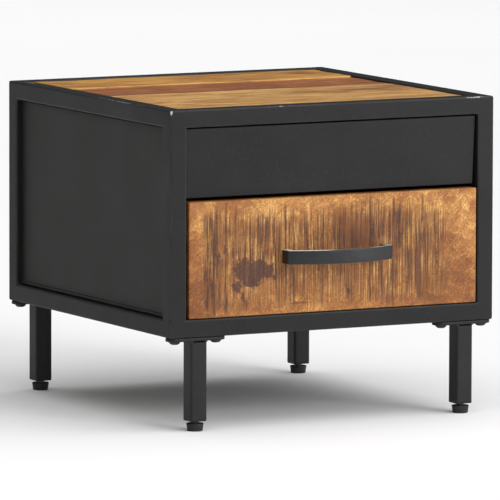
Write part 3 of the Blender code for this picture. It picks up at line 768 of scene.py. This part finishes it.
face = points[:, 1] < low[1] + 1e-6
blade = 0.00007 * np.sin(across * 2.1 + 0.8 * wander_x) * rough
depth = np.clip(0.00028 * np.clip(saw, 0, 1) + 0.00012 * rough + blade
                + 0.00010 * (smooth_noise(share_x, share_up, (22, 9), 7) + 1) * rough
                + 0.0005 * crack + 0.0002 * slash, 0, 0.0009)
points[:, 1] += face * depth


front_wood, tree, shader = new_finish("sawn_front_wood")
rough_here, sanded_here = painted(tree, "rough"), painted(tree, "sanded")


def centred(value, amount):
    """A noise about zero, times an amount."""
    return times(tree, sums(tree, "SUBTRACT", value, 0.5), amount)


def grain_lines(stretch, detail, roughness, low, high, **turn_or_shift):
    """Long fibres as lines: noise drawn out by a stretch, from 0 at low to 1 at high."""
    fibres = noise(tree, place(tree, stretch, **turn_or_shift), 1.0, detail, roughness)
    return span(tree, fibres, low, high)


SANDED_ONE_WAY, SANDED_ANOTHER = (0, np.radians(38), 0), (0, np.radians(52), 0)
wide_line = grain_lines((430, 40, 10), 4, 0.66, 0.52, 0.58)
fine_line = grain_lines((950, 90, 24), 3, 0.65, 0.52, 0.57)
pale_line = grain_lines((780, 60, 14), 2, 0.5, 0.52, 0.60, shift=(7, 0, 3))
cloud = noise(tree, place(tree, (1, 1, 1.3)), 44, 7, 0.66, 0.9)
mottle = noise(tree, place(tree), 520, 4, 0.75, 0.6)
stain = noise(tree, place(tree, (1, 1, 1.2), shift=(0.3, 0, 0.1)), 58, 9, 0.66, 0.5)
stain = span(tree, stain, 0.46, 0.58)
sanding = noise(tree, place(tree, (60, 200, 1500), turn=SANDED_ONE_WAY), 1.0, 3, 0.7, 0.3)
scratch = grain_lines((60, 200, 1500), 2, 0.6, 0.60, 0.68, turn=SANDED_ANOTHER)
rough_pale = times(tree, pale_line, rough_here)
tone = sums(tree, "ADD", centred(cloud, 1.3), 0.46)
tone = sums(tree, "ADD", tone, centred(mottle, 2.0))
tone = sums(tree, "ADD", tone, times(tree, centred(sanding, 1.15), sanded_here))
tone = sums(tree, "ADD", tone, times(tree, rough_pale, 0.55))
tone = sums(tree, "MULTIPLY_ADD", scratch, 0.22, tone)
tone = sums(tree, "MULTIPLY_ADD", painted(tree, "golden"), 0.34, tone)
tone = sums(tree, "MULTIPLY_ADD", painted(tree, "brown"), -0.36, tone)
wood = ramp(tree, tone, (0.0, linear(112, 68, 38)), (0.3, linear(146, 94, 50)),
            (0.55, linear(176, 120, 64)), (0.8, linear(202, 148, 84)), (1.0, linear(224, 176, 106)))
wood = blend(tree, times(tree, stain, 0.52), wood, linear(138, 82, 46))
scorched = ramp(tree, cloud, (0.3, linear(56, 34, 29)), (0.7, linear(82, 54, 44)))
smear = sums(tree, "MULTIPLY_ADD", painted(tree, "brown"), 0.55, centred(mottle, 0.9))
smear = times(tree, sums(tree, "ADD", smear, centred(cloud, 1.2)), rough_here)
wood = blend(tree, span(tree, smear, 0.12, 0.7, 0, 0.7), wood, scorched)
lines = sums(tree, "MULTIPLY_ADD", fine_line, 0.62, times(tree, wide_line, 0.46))
scarce = noise(tree, place(tree, (1, 1, 0.7), shift=(0.9, 0, 0.4)), 27, 3, 0.5)
lines = times(tree, lines, span(tree, scarce, 0.40, 0.58, 0.30, 1.20))
lines = times(tree, lines, rough_here)
lines = sums(tree, "MULTIPLY_ADD", painted(tree, "saw"), 0.72, lines)
broken = sums(tree, "ADD", mottle, centred(cloud, 0.8))
lines = times(tree, lines, span(tree, broken, 0.36, 0.58, 0.35, 1.25))
wood = blend(tree, sums(tree, "MINIMUM", lines, 0.92), wood, scorched)
lobe = noise(tree, place(tree), 130, 5, 0.62)
spalt = sums(tree, "ADD", painted(tree, "blotch"), centred(lobe, 1.3))
spalt = sums(tree, "ADD", spalt, centred(mottle, 0.5))
spalt = times(tree, span(tree, spalt, 0.48, 0.56), 0.88)
dark = sums(tree, "MAXIMUM", lines, spalt)
spalted = ramp(tree, mottle, (0.35, linear(64, 41, 35)), (0.65, linear(90, 60, 49)))
wood = blend(tree, spalt, wood, spalted)
wood = blend(tree, times(tree, painted(tree, "cut"), 0.6), wood, linear(70, 42, 30))
wood = blend(tree, times(tree, painted(tree, "edge"), 0.35), wood, linear(110, 70, 38))
link(tree, wood, shader, "Base Color")
link(tree, span(tree, tone, 0.0, 1.0, 0.55, 0.42), shader, "Roughness")
shader.inputs["Specular IOR Level"].default_value = 0.25
ridges = sums(tree, "MULTIPLY_ADD", rough_pale, 0.6,
              times(tree, sums(tree, "ADD", sanding, mottle), 0.4))
relief(tree, shader, sums(tree, "SUBTRACT", ridges, times(tree, dark, 0.3)), 0.0003)

made = mesh_object("sawn_front", points, quads, front_wood, edge=rounding_share, rough=rough,
                   sanded=sanded, saw=np.clip(saw, 0, 1), brown=brown, golden=golden,
                   blotch=blotch, cut=np.clip(crack + 0.7 * slash, 0, 1))
declare(made, "drawer", "front_wood", "drawer_front")


# The drawer box: pale plain-sawn sides and back, 12 mm thick and butted together, with a
# thin board let into grooves for a bottom. It is left bare, with its edges just broken.

plain_wood, tree, shader = new_finish("plain_wood")
fibre = noise(tree, place(tree, (60, 8, 160)), 1.0, 5, 0.6, 0.5)
band = noise(tree, place(tree, (20, 2.5, 30)), 1.0, 3, 0.5, 0.8)
tone = sums(tree, "MULTIPLY_ADD", fibre, 0.6, times(tree, band, 0.4))
wood = ramp(tree, tone, (0.32, linear(176, 134, 92)), (0.52, linear(206, 168, 122)),
            (0.72, linear(226, 196, 152)))
wood = blend(tree, times(tree, painted(tree, "edge"), 0.25), wood, linear(236, 212, 172))
link(tree, wood, shader, "Base Color")
link(tree, span(tree, fibre, 0.3, 0.7, 0.68, 0.54), shader, "Roughness")
shader.inputs["Specular IOR Level"].default_value = 0.3
relief(tree, shader, fibre, 0.0003)
for node, new_name, edge in (("drawer_side_left", "box_side_left", 0.001),
                             ("drawer_side_right", "box_side_right", 0.001),
                             ("drawer_back", "box_back", 0.001),
                             ("drawer_floor", "box_floor", 0.0005)):
    points, quads, rounding_share = rounded_box(*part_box(node), edge, (12, 12, 12), 2)
    made = mesh_object(new_name, points, quads, plain_wood, edge=rounding_share)
    declare(made, "drawer", "plain_wood", node)


# The handle: a flat bar forged into a shallow bow, with a square foot turned back at each
# end, lacquered dark grey and held from inside the drawer by two pan-head screws. Its upper
# rim carries a painted highlight, near white and strongest towards the left.

def slab(outline, low, high, edge, rows=1, steps=3):
    """An outline given thickness along Z, with rounded rims: ring after ring of the outline,
    each drawn in along its own normals by edge x (1 - cos a) while it rises by edge x sin a."""
    outline = outward(np.array(outline, float))
    run = np.roll(outline, -1, 0) - np.roll(outline, 1, 0)
    normal = np.stack([run[:, 1], -run[:, 0]], -1)
    normal /= np.linalg.norm(normal, axis=1, keepdims=True)
    angle = np.linspace(np.pi / 2, 0, steps + 1)
    drawn = np.concatenate([edge * (1 - np.cos(angle)), np.zeros(rows - 1),
                            edge * (1 - np.cos(angle[::-1]))])
    height = np.concatenate([low + edge * (1 - np.sin(angle)),
                             np.linspace(low + edge, high - edge, rows + 1)[1:-1],
                             high - edge * (1 - np.sin(angle[::-1]))])
    rings = outline[None] - drawn[:, None, None] * normal[None]
    points = np.concatenate([rings, np.broadcast_to(height[:, None, None],
                                                    (*rings.shape[:2], 1))], -1)
    return (points.reshape(-1, 3), closed_rings(len(height), len(outline)),
            np.repeat(drawn > 1e-9, len(outline)))


handle_low, handle_high = corners_of("handle")
half = (handle_high[0] - handle_low[0]) / 2
centre_x = (handle_high[0] + handle_low[0]) / 2
back_y = handle_high[1]
BAR, FOOT, END_REACH, BENT_CORNER = 0.004, 0.007, 0.0147, 0.0008
end_y = back_y - END_REACH
bow = (back_y - handle_low[1]) - END_REACH


def bow_at(x):
    """How far forward the bar's outer face is, at a distance from its middle: a parabola
    that stands furthest out at the middle."""
    return end_y - bow * (1 - (x / half) ** 2)


def bow_line(half_width, offset, count=41):
    """The bow seen from above, moved back by the offset."""
    x = np.linspace(-half_width, half_width, count)
    return np.stack([centre_x + x, bow_at(x) + offset], -1)


outer, inner = bow_line(half, 0), bow_line(half - FOOT, BAR)[::-1]
outline = np.concatenate([
    [(centre_x - half, back_y), (centre_x - half, end_y + BENT_CORNER)], outer[1:-1],
    [(centre_x + half, end_y + BENT_CORNER), (centre_x + half, back_y),
     (centre_x + half - FOOT, back_y)],
    inner, [(centre_x - half + FOOT, back_y)]])
points, faces, rim = slab(split_outline(outline, 0.003), handle_low[2], handle_high[2],
                          0.0007, rows=6)
share_x = (points[:, 0] - handle_low[0]) / (2 * half)
share_z = (points[:, 2] - handle_low[2]) / (handle_high[2] - handle_low[2])
outermost = points[:, 1] < bow_at(points[:, 0] - centre_x) + 0.0012
hammered = smooth_noise(share_x, share_z, (26, 3), 31)
points[:, 1] += outermost * 0.00018 * (1 + np.tanh(hammered))
# A painted highlight along the upper rim, strongest on the left third and again at the right end
upper_rim = rim & (share_z > 0.9)
rubbed = upper_rim * (0.45 + 0.75 * (1 - ease(share_x, 0.28, 0.42))
                      + 0.3 * ease(share_x, 0.72, 0.80))

handle_coat, tree, shader = new_finish("handle_lacquer")
where = place(tree)
cloud = noise(tree, where, 70, 4, 0.6)
lacquer = ramp(tree, cloud, (0.3, linear(24, 25, 26)), (0.7, linear(36, 37, 38)))
# The lacquer painted near white where the painted highlight falls
painted_highlight = span(tree, sums(tree, "MULTIPLY_ADD", noise(tree, where, 300, 3, 0.6), 0.7,
                       painted(tree, "rubbed")), 0.80, 1.45)
lacquer = blend(tree, painted_highlight, lacquer, linear(225, 225, 224))
edge = times(tree, painted(tree, "edge"), 0.3)
lacquer = blend(tree, edge, lacquer, linear(96, 97, 98))
link(tree, lacquer, shader, "Base Color")
link(tree, span(tree, cloud, 0.3, 0.7, 0.30, 0.42), shader, "Roughness")
shader.inputs["Specular IOR Level"].default_value = 0.4
relief(tree, shader, sums(tree, "MULTIPLY_ADD", cloud, 1.5,
                          noise(tree, where, 500, 2)), 0.0001)
made = mesh_object("bowed_handle", points, faces, handle_coat, edge=rim, rubbed=rubbed)
declare(made, "drawer", "black_steel", "handle")


# Screws and bolts: zinc pan-head screws with a cross recess, and black button-head bolts
# with a hexagon socket, which hold the leg plates to the bottom rails.

def turned(rings, centre, count=32, axis=2, flip=1):
    """A turned or stepped piece from rings of (height, radius at each angle), closed at both
    ends: radius x cos and sin of the angle, across the axis. A radius may be one number or an
    array, as for a hexagon. A flip of -1 turns the piece end for end."""
    angle = np.arange(count) * 2 * np.pi / count
    first, second = (axis + 1) % 3, (axis + 2) % 3
    points = np.zeros((len(rings), count, 3))
    for row, (height, radius) in enumerate(rings):
        points[row, :, first] = radius * np.cos(angle)
        points[row, :, second] = radius * np.sin(angle)
        points[row, :, axis] = flip * height
    faces = closed_rings(len(rings), count)
    if flip < 0:
        faces = [list(face)[::-1] for face in faces]
    return points.reshape(-1, 3) + np.array(centre), faces


def together(*shells):
    """Several shells as one set of points and faces."""
    starts = np.cumsum([0] + [len(points) for points, _ in shells])
    faces = [[int(corner) + int(start) for corner in face]
             for (_, shell), start in zip(shells, starts) for face in shell]
    return np.concatenate([points for points, _ in shells]), faces


def hexagon(apothem, count=32):
    """Distance from the middle of a hexagon to its side at each angle."""
    angle = np.arange(count) * 2 * np.pi / count
    return apothem / np.cos((angle + np.pi / 6) % (np.pi / 3) - np.pi / 6)


def cross(radius, count=32):
    """Distance from the middle of a cross recess to its edge at each angle."""
    angle = np.arange(count) * 2 * np.pi / count
    return radius * (0.38 + 0.62 * abs(np.cos(2 * angle)) ** 5)


zinc, tree, shader = new_finish("zinc_plate")
drawn_line = noise(tree, place(tree, (900, 40, 900)), 1.0, 3, 0.6)
spangle = noise(tree, place(tree), 160, 4, 0.6)
link(tree, ramp(tree, spangle, (0.3, linear(150, 151, 150)), (0.7, linear(196, 196, 192))),
     shader, "Base Color")
shader.inputs["Metallic"].default_value = 1.0
link(tree, span(tree, drawn_line, 0.3, 0.7, 0.26, 0.42), shader, "Roughness")
relief(tree, shader, drawn_line, 0.00005)

PAN_HEAD, SCREW_RADIUS = 0.0024, 0.002
for side in ("left", "right"):
    node = f"handle_screw_{side}"
    low, high = corners_of(node)
    radius = (high[0] - low[0]) / 2
    centre = ((low[0] + high[0]) / 2, high[1] - PAN_HEAD, (low[2] + high[2]) / 2)
    tip = low[1] - centre[1]
    rings = [(tip, SCREW_RADIUS - 0.0003), (tip + 0.0004, SCREW_RADIUS),
             (-0.0001, SCREW_RADIUS), (0, radius - 0.0002), (0.0003, radius),
             (0.0012, radius * 0.96), (0.0019, radius * 0.82), (0.0023, radius * 0.6),
             (PAN_HEAD, radius * 0.52), (0.0023, cross(0.0019)), (0.0009, cross(0.0012))]
    made = mesh_object(f"pan_screw_{side}", *turned(rings, centre, 32, 1), zinc)
    declare(made, "drawer", "zinc_steel", node)

bolt_coat = black_coat("bolt_coat", linear(20, 20, 21), linear(34, 34, 35), (0.3, 0.42), 0.5)


# The legs: square tube closed at the foot by a plate with a threaded hole, and welded at
# the top to a flat bar with round ends, which two bolts hold under the bottom rail.

def square_ring(half, softness, count=64):
    """A rounded square: the point on a square at each angle, with its corners drawn to a
    circle of the softness."""
    angle = (np.arange(count) + 0.5) * 2 * np.pi / count
    ray = np.stack([np.cos(angle), np.sin(angle)], -1)
    square = ray * (half / abs(ray).max(1))[:, None]
    core = np.clip(square, -(half - softness), half - softness)
    away = square - core
    distance = np.linalg.norm(away, axis=1, keepdims=True)
    return core + softness * away / np.maximum(distance, 1e-9)


def round_ring(radius, count=64):
    """A circle with its points at the same angles as the square's."""
    angle = (np.arange(count) + 0.5) * 2 * np.pi / count
    return radius * np.stack([np.cos(angle), np.sin(angle)], -1)


def stacked(rings, centre):
    """Rings of equal count at their heights, joined in order and closed at both ends."""
    count = len(rings[0][1])
    points = np.concatenate([np.column_stack([ring, np.full(count, height)])
                             for height, ring in rings]) + np.array([*centre, 0])
    return points, closed_rings(len(rings), count)


def weld_bead(half, level, centre, count=96, sides=10):
    """The bead round the top of a leg: a small circle carried round a square, growing and
    shrinking by two sine waves as the welder's hand went along."""
    loop = square_ring(half + 0.0002, 0.0021, count)
    outwards = loop / np.linalg.norm(loop, axis=1, keepdims=True)
    around = np.arange(count) * 2 * np.pi / count
    roll = np.arange(sides) * 2 * np.pi / sides
    fatness = 0.0011 + 0.00022 * np.sin(18 * around) + 0.0001 * np.sin(5 * around + 1)
    bead = np.zeros((count, sides, 3))
    bead[..., :2] = (loop[:, None]
                     + (fatness[:, None] * np.cos(roll))[..., None] * outwards[:, None])
    bead[..., 2] = level + fatness[:, None] * np.sin(roll)
    index = np.arange(count * sides).reshape(count, sides)
    beside = np.roll(index, -1, 1)
    faces = np.stack([index, beside, np.roll(beside, -1, 0), np.roll(index, -1, 0)], -1)
    return bead.reshape(-1, 3) + [*centre, 0], faces.reshape(-1, 4)[:, ::-1]


leg_coat = black_coat("leg_coat", linear(28, 28, 29), linear(37, 37, 38), (0.40, 0.5), 0.22)
rubber, tree, shader = new_finish("foot_plastic")
where = place(tree)
grit = noise(tree, where, 700, 3, 0.6)
link(tree, ramp(tree, noise(tree, where, 90, 3), (0.3, linear(20, 20, 20)),
                (0.7, linear(32, 32, 32))), shader, "Base Color")
link(tree, span(tree, grit, 0.3, 0.7, 0.5, 0.66), shader, "Roughness")
shader.inputs["Specular IOR Level"].default_value = 0.4
relief(tree, shader, grit, 0.0001)

LEG_HALF, LEG_EDGE, LEG_WALL = tube / 2, 0.0019, 0.0015
PLATE_THICK, PLATE_EDGE = 0.0037, 0.0008
FOOT_WALL, FOOT_HOLE = 0.003, 0.0043
BUTTON_HEAD, BOLT_RADIUS = 0.0032, 0.003
LEGS = [f"{end}_{side}" for end in ("front", "rear") for side in ("left", "right")]
for leg in LEGS:
    low, high = corners_of(f"leg_{leg}")
    x, y = (low[0] + high[0]) / 2, (low[1] + high[1]) / 2
    plate_low, foot = high[2] - PLATE_THICK, low[2]
    inner = LEG_HALF - LEG_WALL
    tube_shell = stacked([
        (plate_low, square_ring(inner, 0.0008)), (foot + FOOT_WALL, square_ring(inner, 0.0008)),
        (foot + FOOT_WALL, round_ring(FOOT_HOLE)), (foot, round_ring(FOOT_HOLE)),
        (foot, square_ring(LEG_HALF - 0.0009, 0.0012)),
        (foot + 0.0002, square_ring(LEG_HALF - 0.0004, 0.0016)),
        *[(level, square_ring(LEG_HALF, LEG_EDGE))
          for level in (foot + 0.0009, foot + 0.0025,
                        *np.linspace(foot + 0.01, plate_low - 0.002, 12),
                        plate_low + 0.0002)]], (x, y))
    straight = (high[0] - low[0]) / 2 - LEG_HALF
    turn = np.linspace(-np.pi / 2, np.pi / 2, 15)
    half_round = np.stack([straight + LEG_HALF * np.cos(turn), LEG_HALF * np.sin(turn)], -1)
    pill = split_outline(np.concatenate([half_round, -half_round]), 0.006) + [x, y]
    points, faces = together(tube_shell, slab(pill, plate_low, high[2], PLATE_EDGE, 2)[:2],
                             weld_bead(LEG_HALF, plate_low - 0.0003, (x, y)))
    points[:, 1] = np.clip(points[:, 1], low[1], high[1])
    made = mesh_object(f"welded_leg_{leg}", points, faces, leg_coat)
    declare(made, "cabinet", "black_steel", f"leg_{leg}")

    for number in (1, 2):
        node = f"leg_bolt_{leg}_{number}"
        low, high = corners_of(node)
        centre = ((low[0] + high[0]) / 2, (low[1] + high[1]) / 2, low[2] + BUTTON_HEAD)
        radius = (high[0] - low[0]) / 2
        tip = centre[2] - high[2]
        rings = [(tip, BOLT_RADIUS - 0.0004), (tip + 0.0004, BOLT_RADIUS),
                 (-0.0001, BOLT_RADIUS), (0, radius - 0.0003), (0.0003, radius),
                 (0.0009, radius * 0.985), (0.0017, radius * 0.9), (0.0025, radius * 0.76),
                 (0.003, radius * 0.62), (BUTTON_HEAD, radius * 0.5),
                 (0.0031, hexagon(0.0024)), (0.0012, hexagon(0.0023))]
        made = mesh_object(f"button_bolt_{leg}_{number}", *turned(rings, centre, 32, 2, -1),
                           bolt_coat)
        declare(made, "cabinet", "black_steel", node)


# The feet: a tapered black pad moulded on a zinc-plated threaded stud, which screws up
# into the end of the leg to level the table.

THREAD_PITCH, THREAD_DEPTH = 0.00125, 0.0006
HOLLOW_DEPTH, HOLLOW_RADIUS = 0.0006, 0.0037
COLLAR_OUT, COLLAR_IN, SOCKET_FLOOR = 0.0062, 0.0058, 0.004


def thread(radius, low, high, pitch, centre, count=24):
    """A screw thread: a ring of points whose radius dips by a triangle wave of the height
    less the turn, so that the groove climbs one pitch for each turn."""
    angle = np.arange(count) * 2 * np.pi / count
    height = np.arange(low, high, pitch / 6)
    height = np.append(height[height < high - 1e-5], high)
    phase = (height[:, None] / pitch - angle[None] / (2 * np.pi)) % 1
    dip = THREAD_DEPTH * (1 - abs(2 * phase - 1)) * np.clip((high - height[:, None]) / pitch, 0, 1)
    reach = radius - dip
    points = np.stack([reach * np.cos(angle), reach * np.sin(angle),
                       np.broadcast_to(height[:, None], reach.shape)], -1)
    return points.reshape(-1, 3) + np.array([*centre, 0]), closed_rings(len(height), count)


for leg in LEGS:
    low, high = corners_of(f"foot_pad_{leg}")
    x, y = (low[0] + high[0]) / 2, (low[1] + high[1]) / 2
    wide, tall = (high[0] - low[0]) / 2, high[2] - low[2]
    rings = [(0.0, HOLLOW_RADIUS - 0.0002), (HOLLOW_DEPTH, HOLLOW_RADIUS),
             (HOLLOW_DEPTH, wide - 0.0026), (0.0, wide - 0.0022),
             (0.0, wide - 0.0017), (0.0002, wide - 0.0013), (0.0006, wide - 0.001),
             (tall * 0.5, wide - 0.0006), (tall - 0.0018, wide - 0.0002),
             (tall - 0.0010, wide), (tall - 0.0004, wide - 0.0001),
             (tall - 0.0001, wide - 0.0004), (tall, wide - 0.0009), (tall, COLLAR_OUT),
             (tall - 0.0005, COLLAR_IN), (tall - 0.0005, FOOT_HOLE), (SOCKET_FLOOR, FOOT_HOLE)]
    made = mesh_object(f"moulded_pad_{leg}", *turned(rings, (x, y, 0), 48), rubber)
    declare(made, f"foot_{leg}", "black_plastic", f"foot_pad_{leg}")
    low, high = corners_of(f"foot_stud_{leg}")
    stud = thread((high[0] - low[0]) / 2, low[2], high[2], THREAD_PITCH, (x, y))
    made = mesh_object(f"threaded_stud_{leg}", *stud, zinc)
    declare(made, f"foot_{leg}", "zinc_steel", f"foot_stud_{leg}")


# The slides: on each side a wide channel screwed to the cabinet's bar, a narrow one
# screwed to the drawer, and between them a thin cage that spaces the steel balls. All
# are rolled from zinc-plated strip.

def rolled(name, node, corners, body, edge=0.0011):
    """A rolled section carried along Y, eased at its bends, between its node's ends."""
    low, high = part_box(node)
    outline = rounded_outline(corners, edge, 4)
    points, faces = carried(outline, np.linspace(low[1], high[1], 12), (1, 0, 2))
    made = mesh_object(name, points, faces, zinc)
    declare(made, body, "zinc_steel", node)


STRIP, CAGE_STRIP, LIP_RISE = 0.0012, 0.0007, 0.0012
# Distances from the posts' faces to the channels' and the cage's nearest and furthest faces
CHANNEL_NEAR, CAGE_NEAR, LIP_NEAR, SLIDE_FAR = 0.0003, 0.0018, 0.003, 0.0127
BALL_RADIUS, BALL_AWAY, BALL_RISE, BALL_ROW = 0.00195, 0.0062, 0.01425, 8
for side_name, side in (("left", -1), ("right", 1)):
    low, high = corners_of(f"cabinet_runner_{side_name}")
    middle_z = (low[2] + high[2]) / 2
    post = side * (box_high[0] - tube)

    def section(upper):
        """The upper half of a section, (distance from the posts' faces, height), mirrored
        below and laid against its side of the cabinet."""
        both = [*upper, *[(away, -rise) for away, rise in reversed(upper)]]
        return [(post - side * away, middle_z + rise) for away, rise in both]

    tall = (high[2] - low[2]) / 2
    lip = high[0] - low[0] + CHANNEL_NEAR
    lip_foot = tall - STRIP - LIP_RISE
    rolled(f"wide_channel_{side_name}", f"cabinet_runner_{side_name}", section(
        [(CHANNEL_NEAR, tall), (lip, tall), (lip, lip_foot), (lip - STRIP, lip_foot),
         (lip - STRIP, tall - STRIP), (CHANNEL_NEAR + STRIP, tall - STRIP)]), "cabinet")
    low, high = corners_of(f"drawer_runner_{side_name}")
    lips = (high[2] - low[2]) / 2
    flange = lips - LIP_RISE
    rolled(f"narrow_channel_{side_name}", f"drawer_runner_{side_name}", section(
        [(SLIDE_FAR, flange), (LIP_NEAR + STRIP, flange), (LIP_NEAR + STRIP, lips),
         (LIP_NEAR, lips), (LIP_NEAR, flange - STRIP),
         (SLIDE_FAR - STRIP, flange - STRIP)]), "drawer")
    low, high = corners_of(f"ball_cage_{side_name}")
    cage_half = (high[2] - low[2]) / 2
    cage_far = CAGE_NEAR + high[0] - low[0]
    rolled(f"rolled_cage_{side_name}", f"ball_cage_{side_name}", section(
        [(CAGE_NEAR, cage_half), (cage_far, cage_half), (cage_far, cage_half - CAGE_STRIP),
         (CAGE_NEAR + CAGE_STRIP, cage_half - CAGE_STRIP)]), f"cage_{side_name}", 0.0006)
    latitude = np.linspace(-np.pi / 2 + 0.3, np.pi / 2 - 0.3, 7)
    ball = [(BALL_RADIUS * np.sin(a), BALL_RADIUS * np.cos(a)) for a in latitude]
    shells = [turned(ball, (post - side * BALL_AWAY, spot, middle_z + rise), 12)
              for spot in np.linspace(low[1] + 0.008, high[1] - 0.008, BALL_ROW)
              for rise in (-BALL_RISE, BALL_RISE)]
    made = mesh_object(f"steel_balls_{side_name}", *together(*shells), zinc)
    declare(made, f"cage_{side_name}", "zinc_steel")
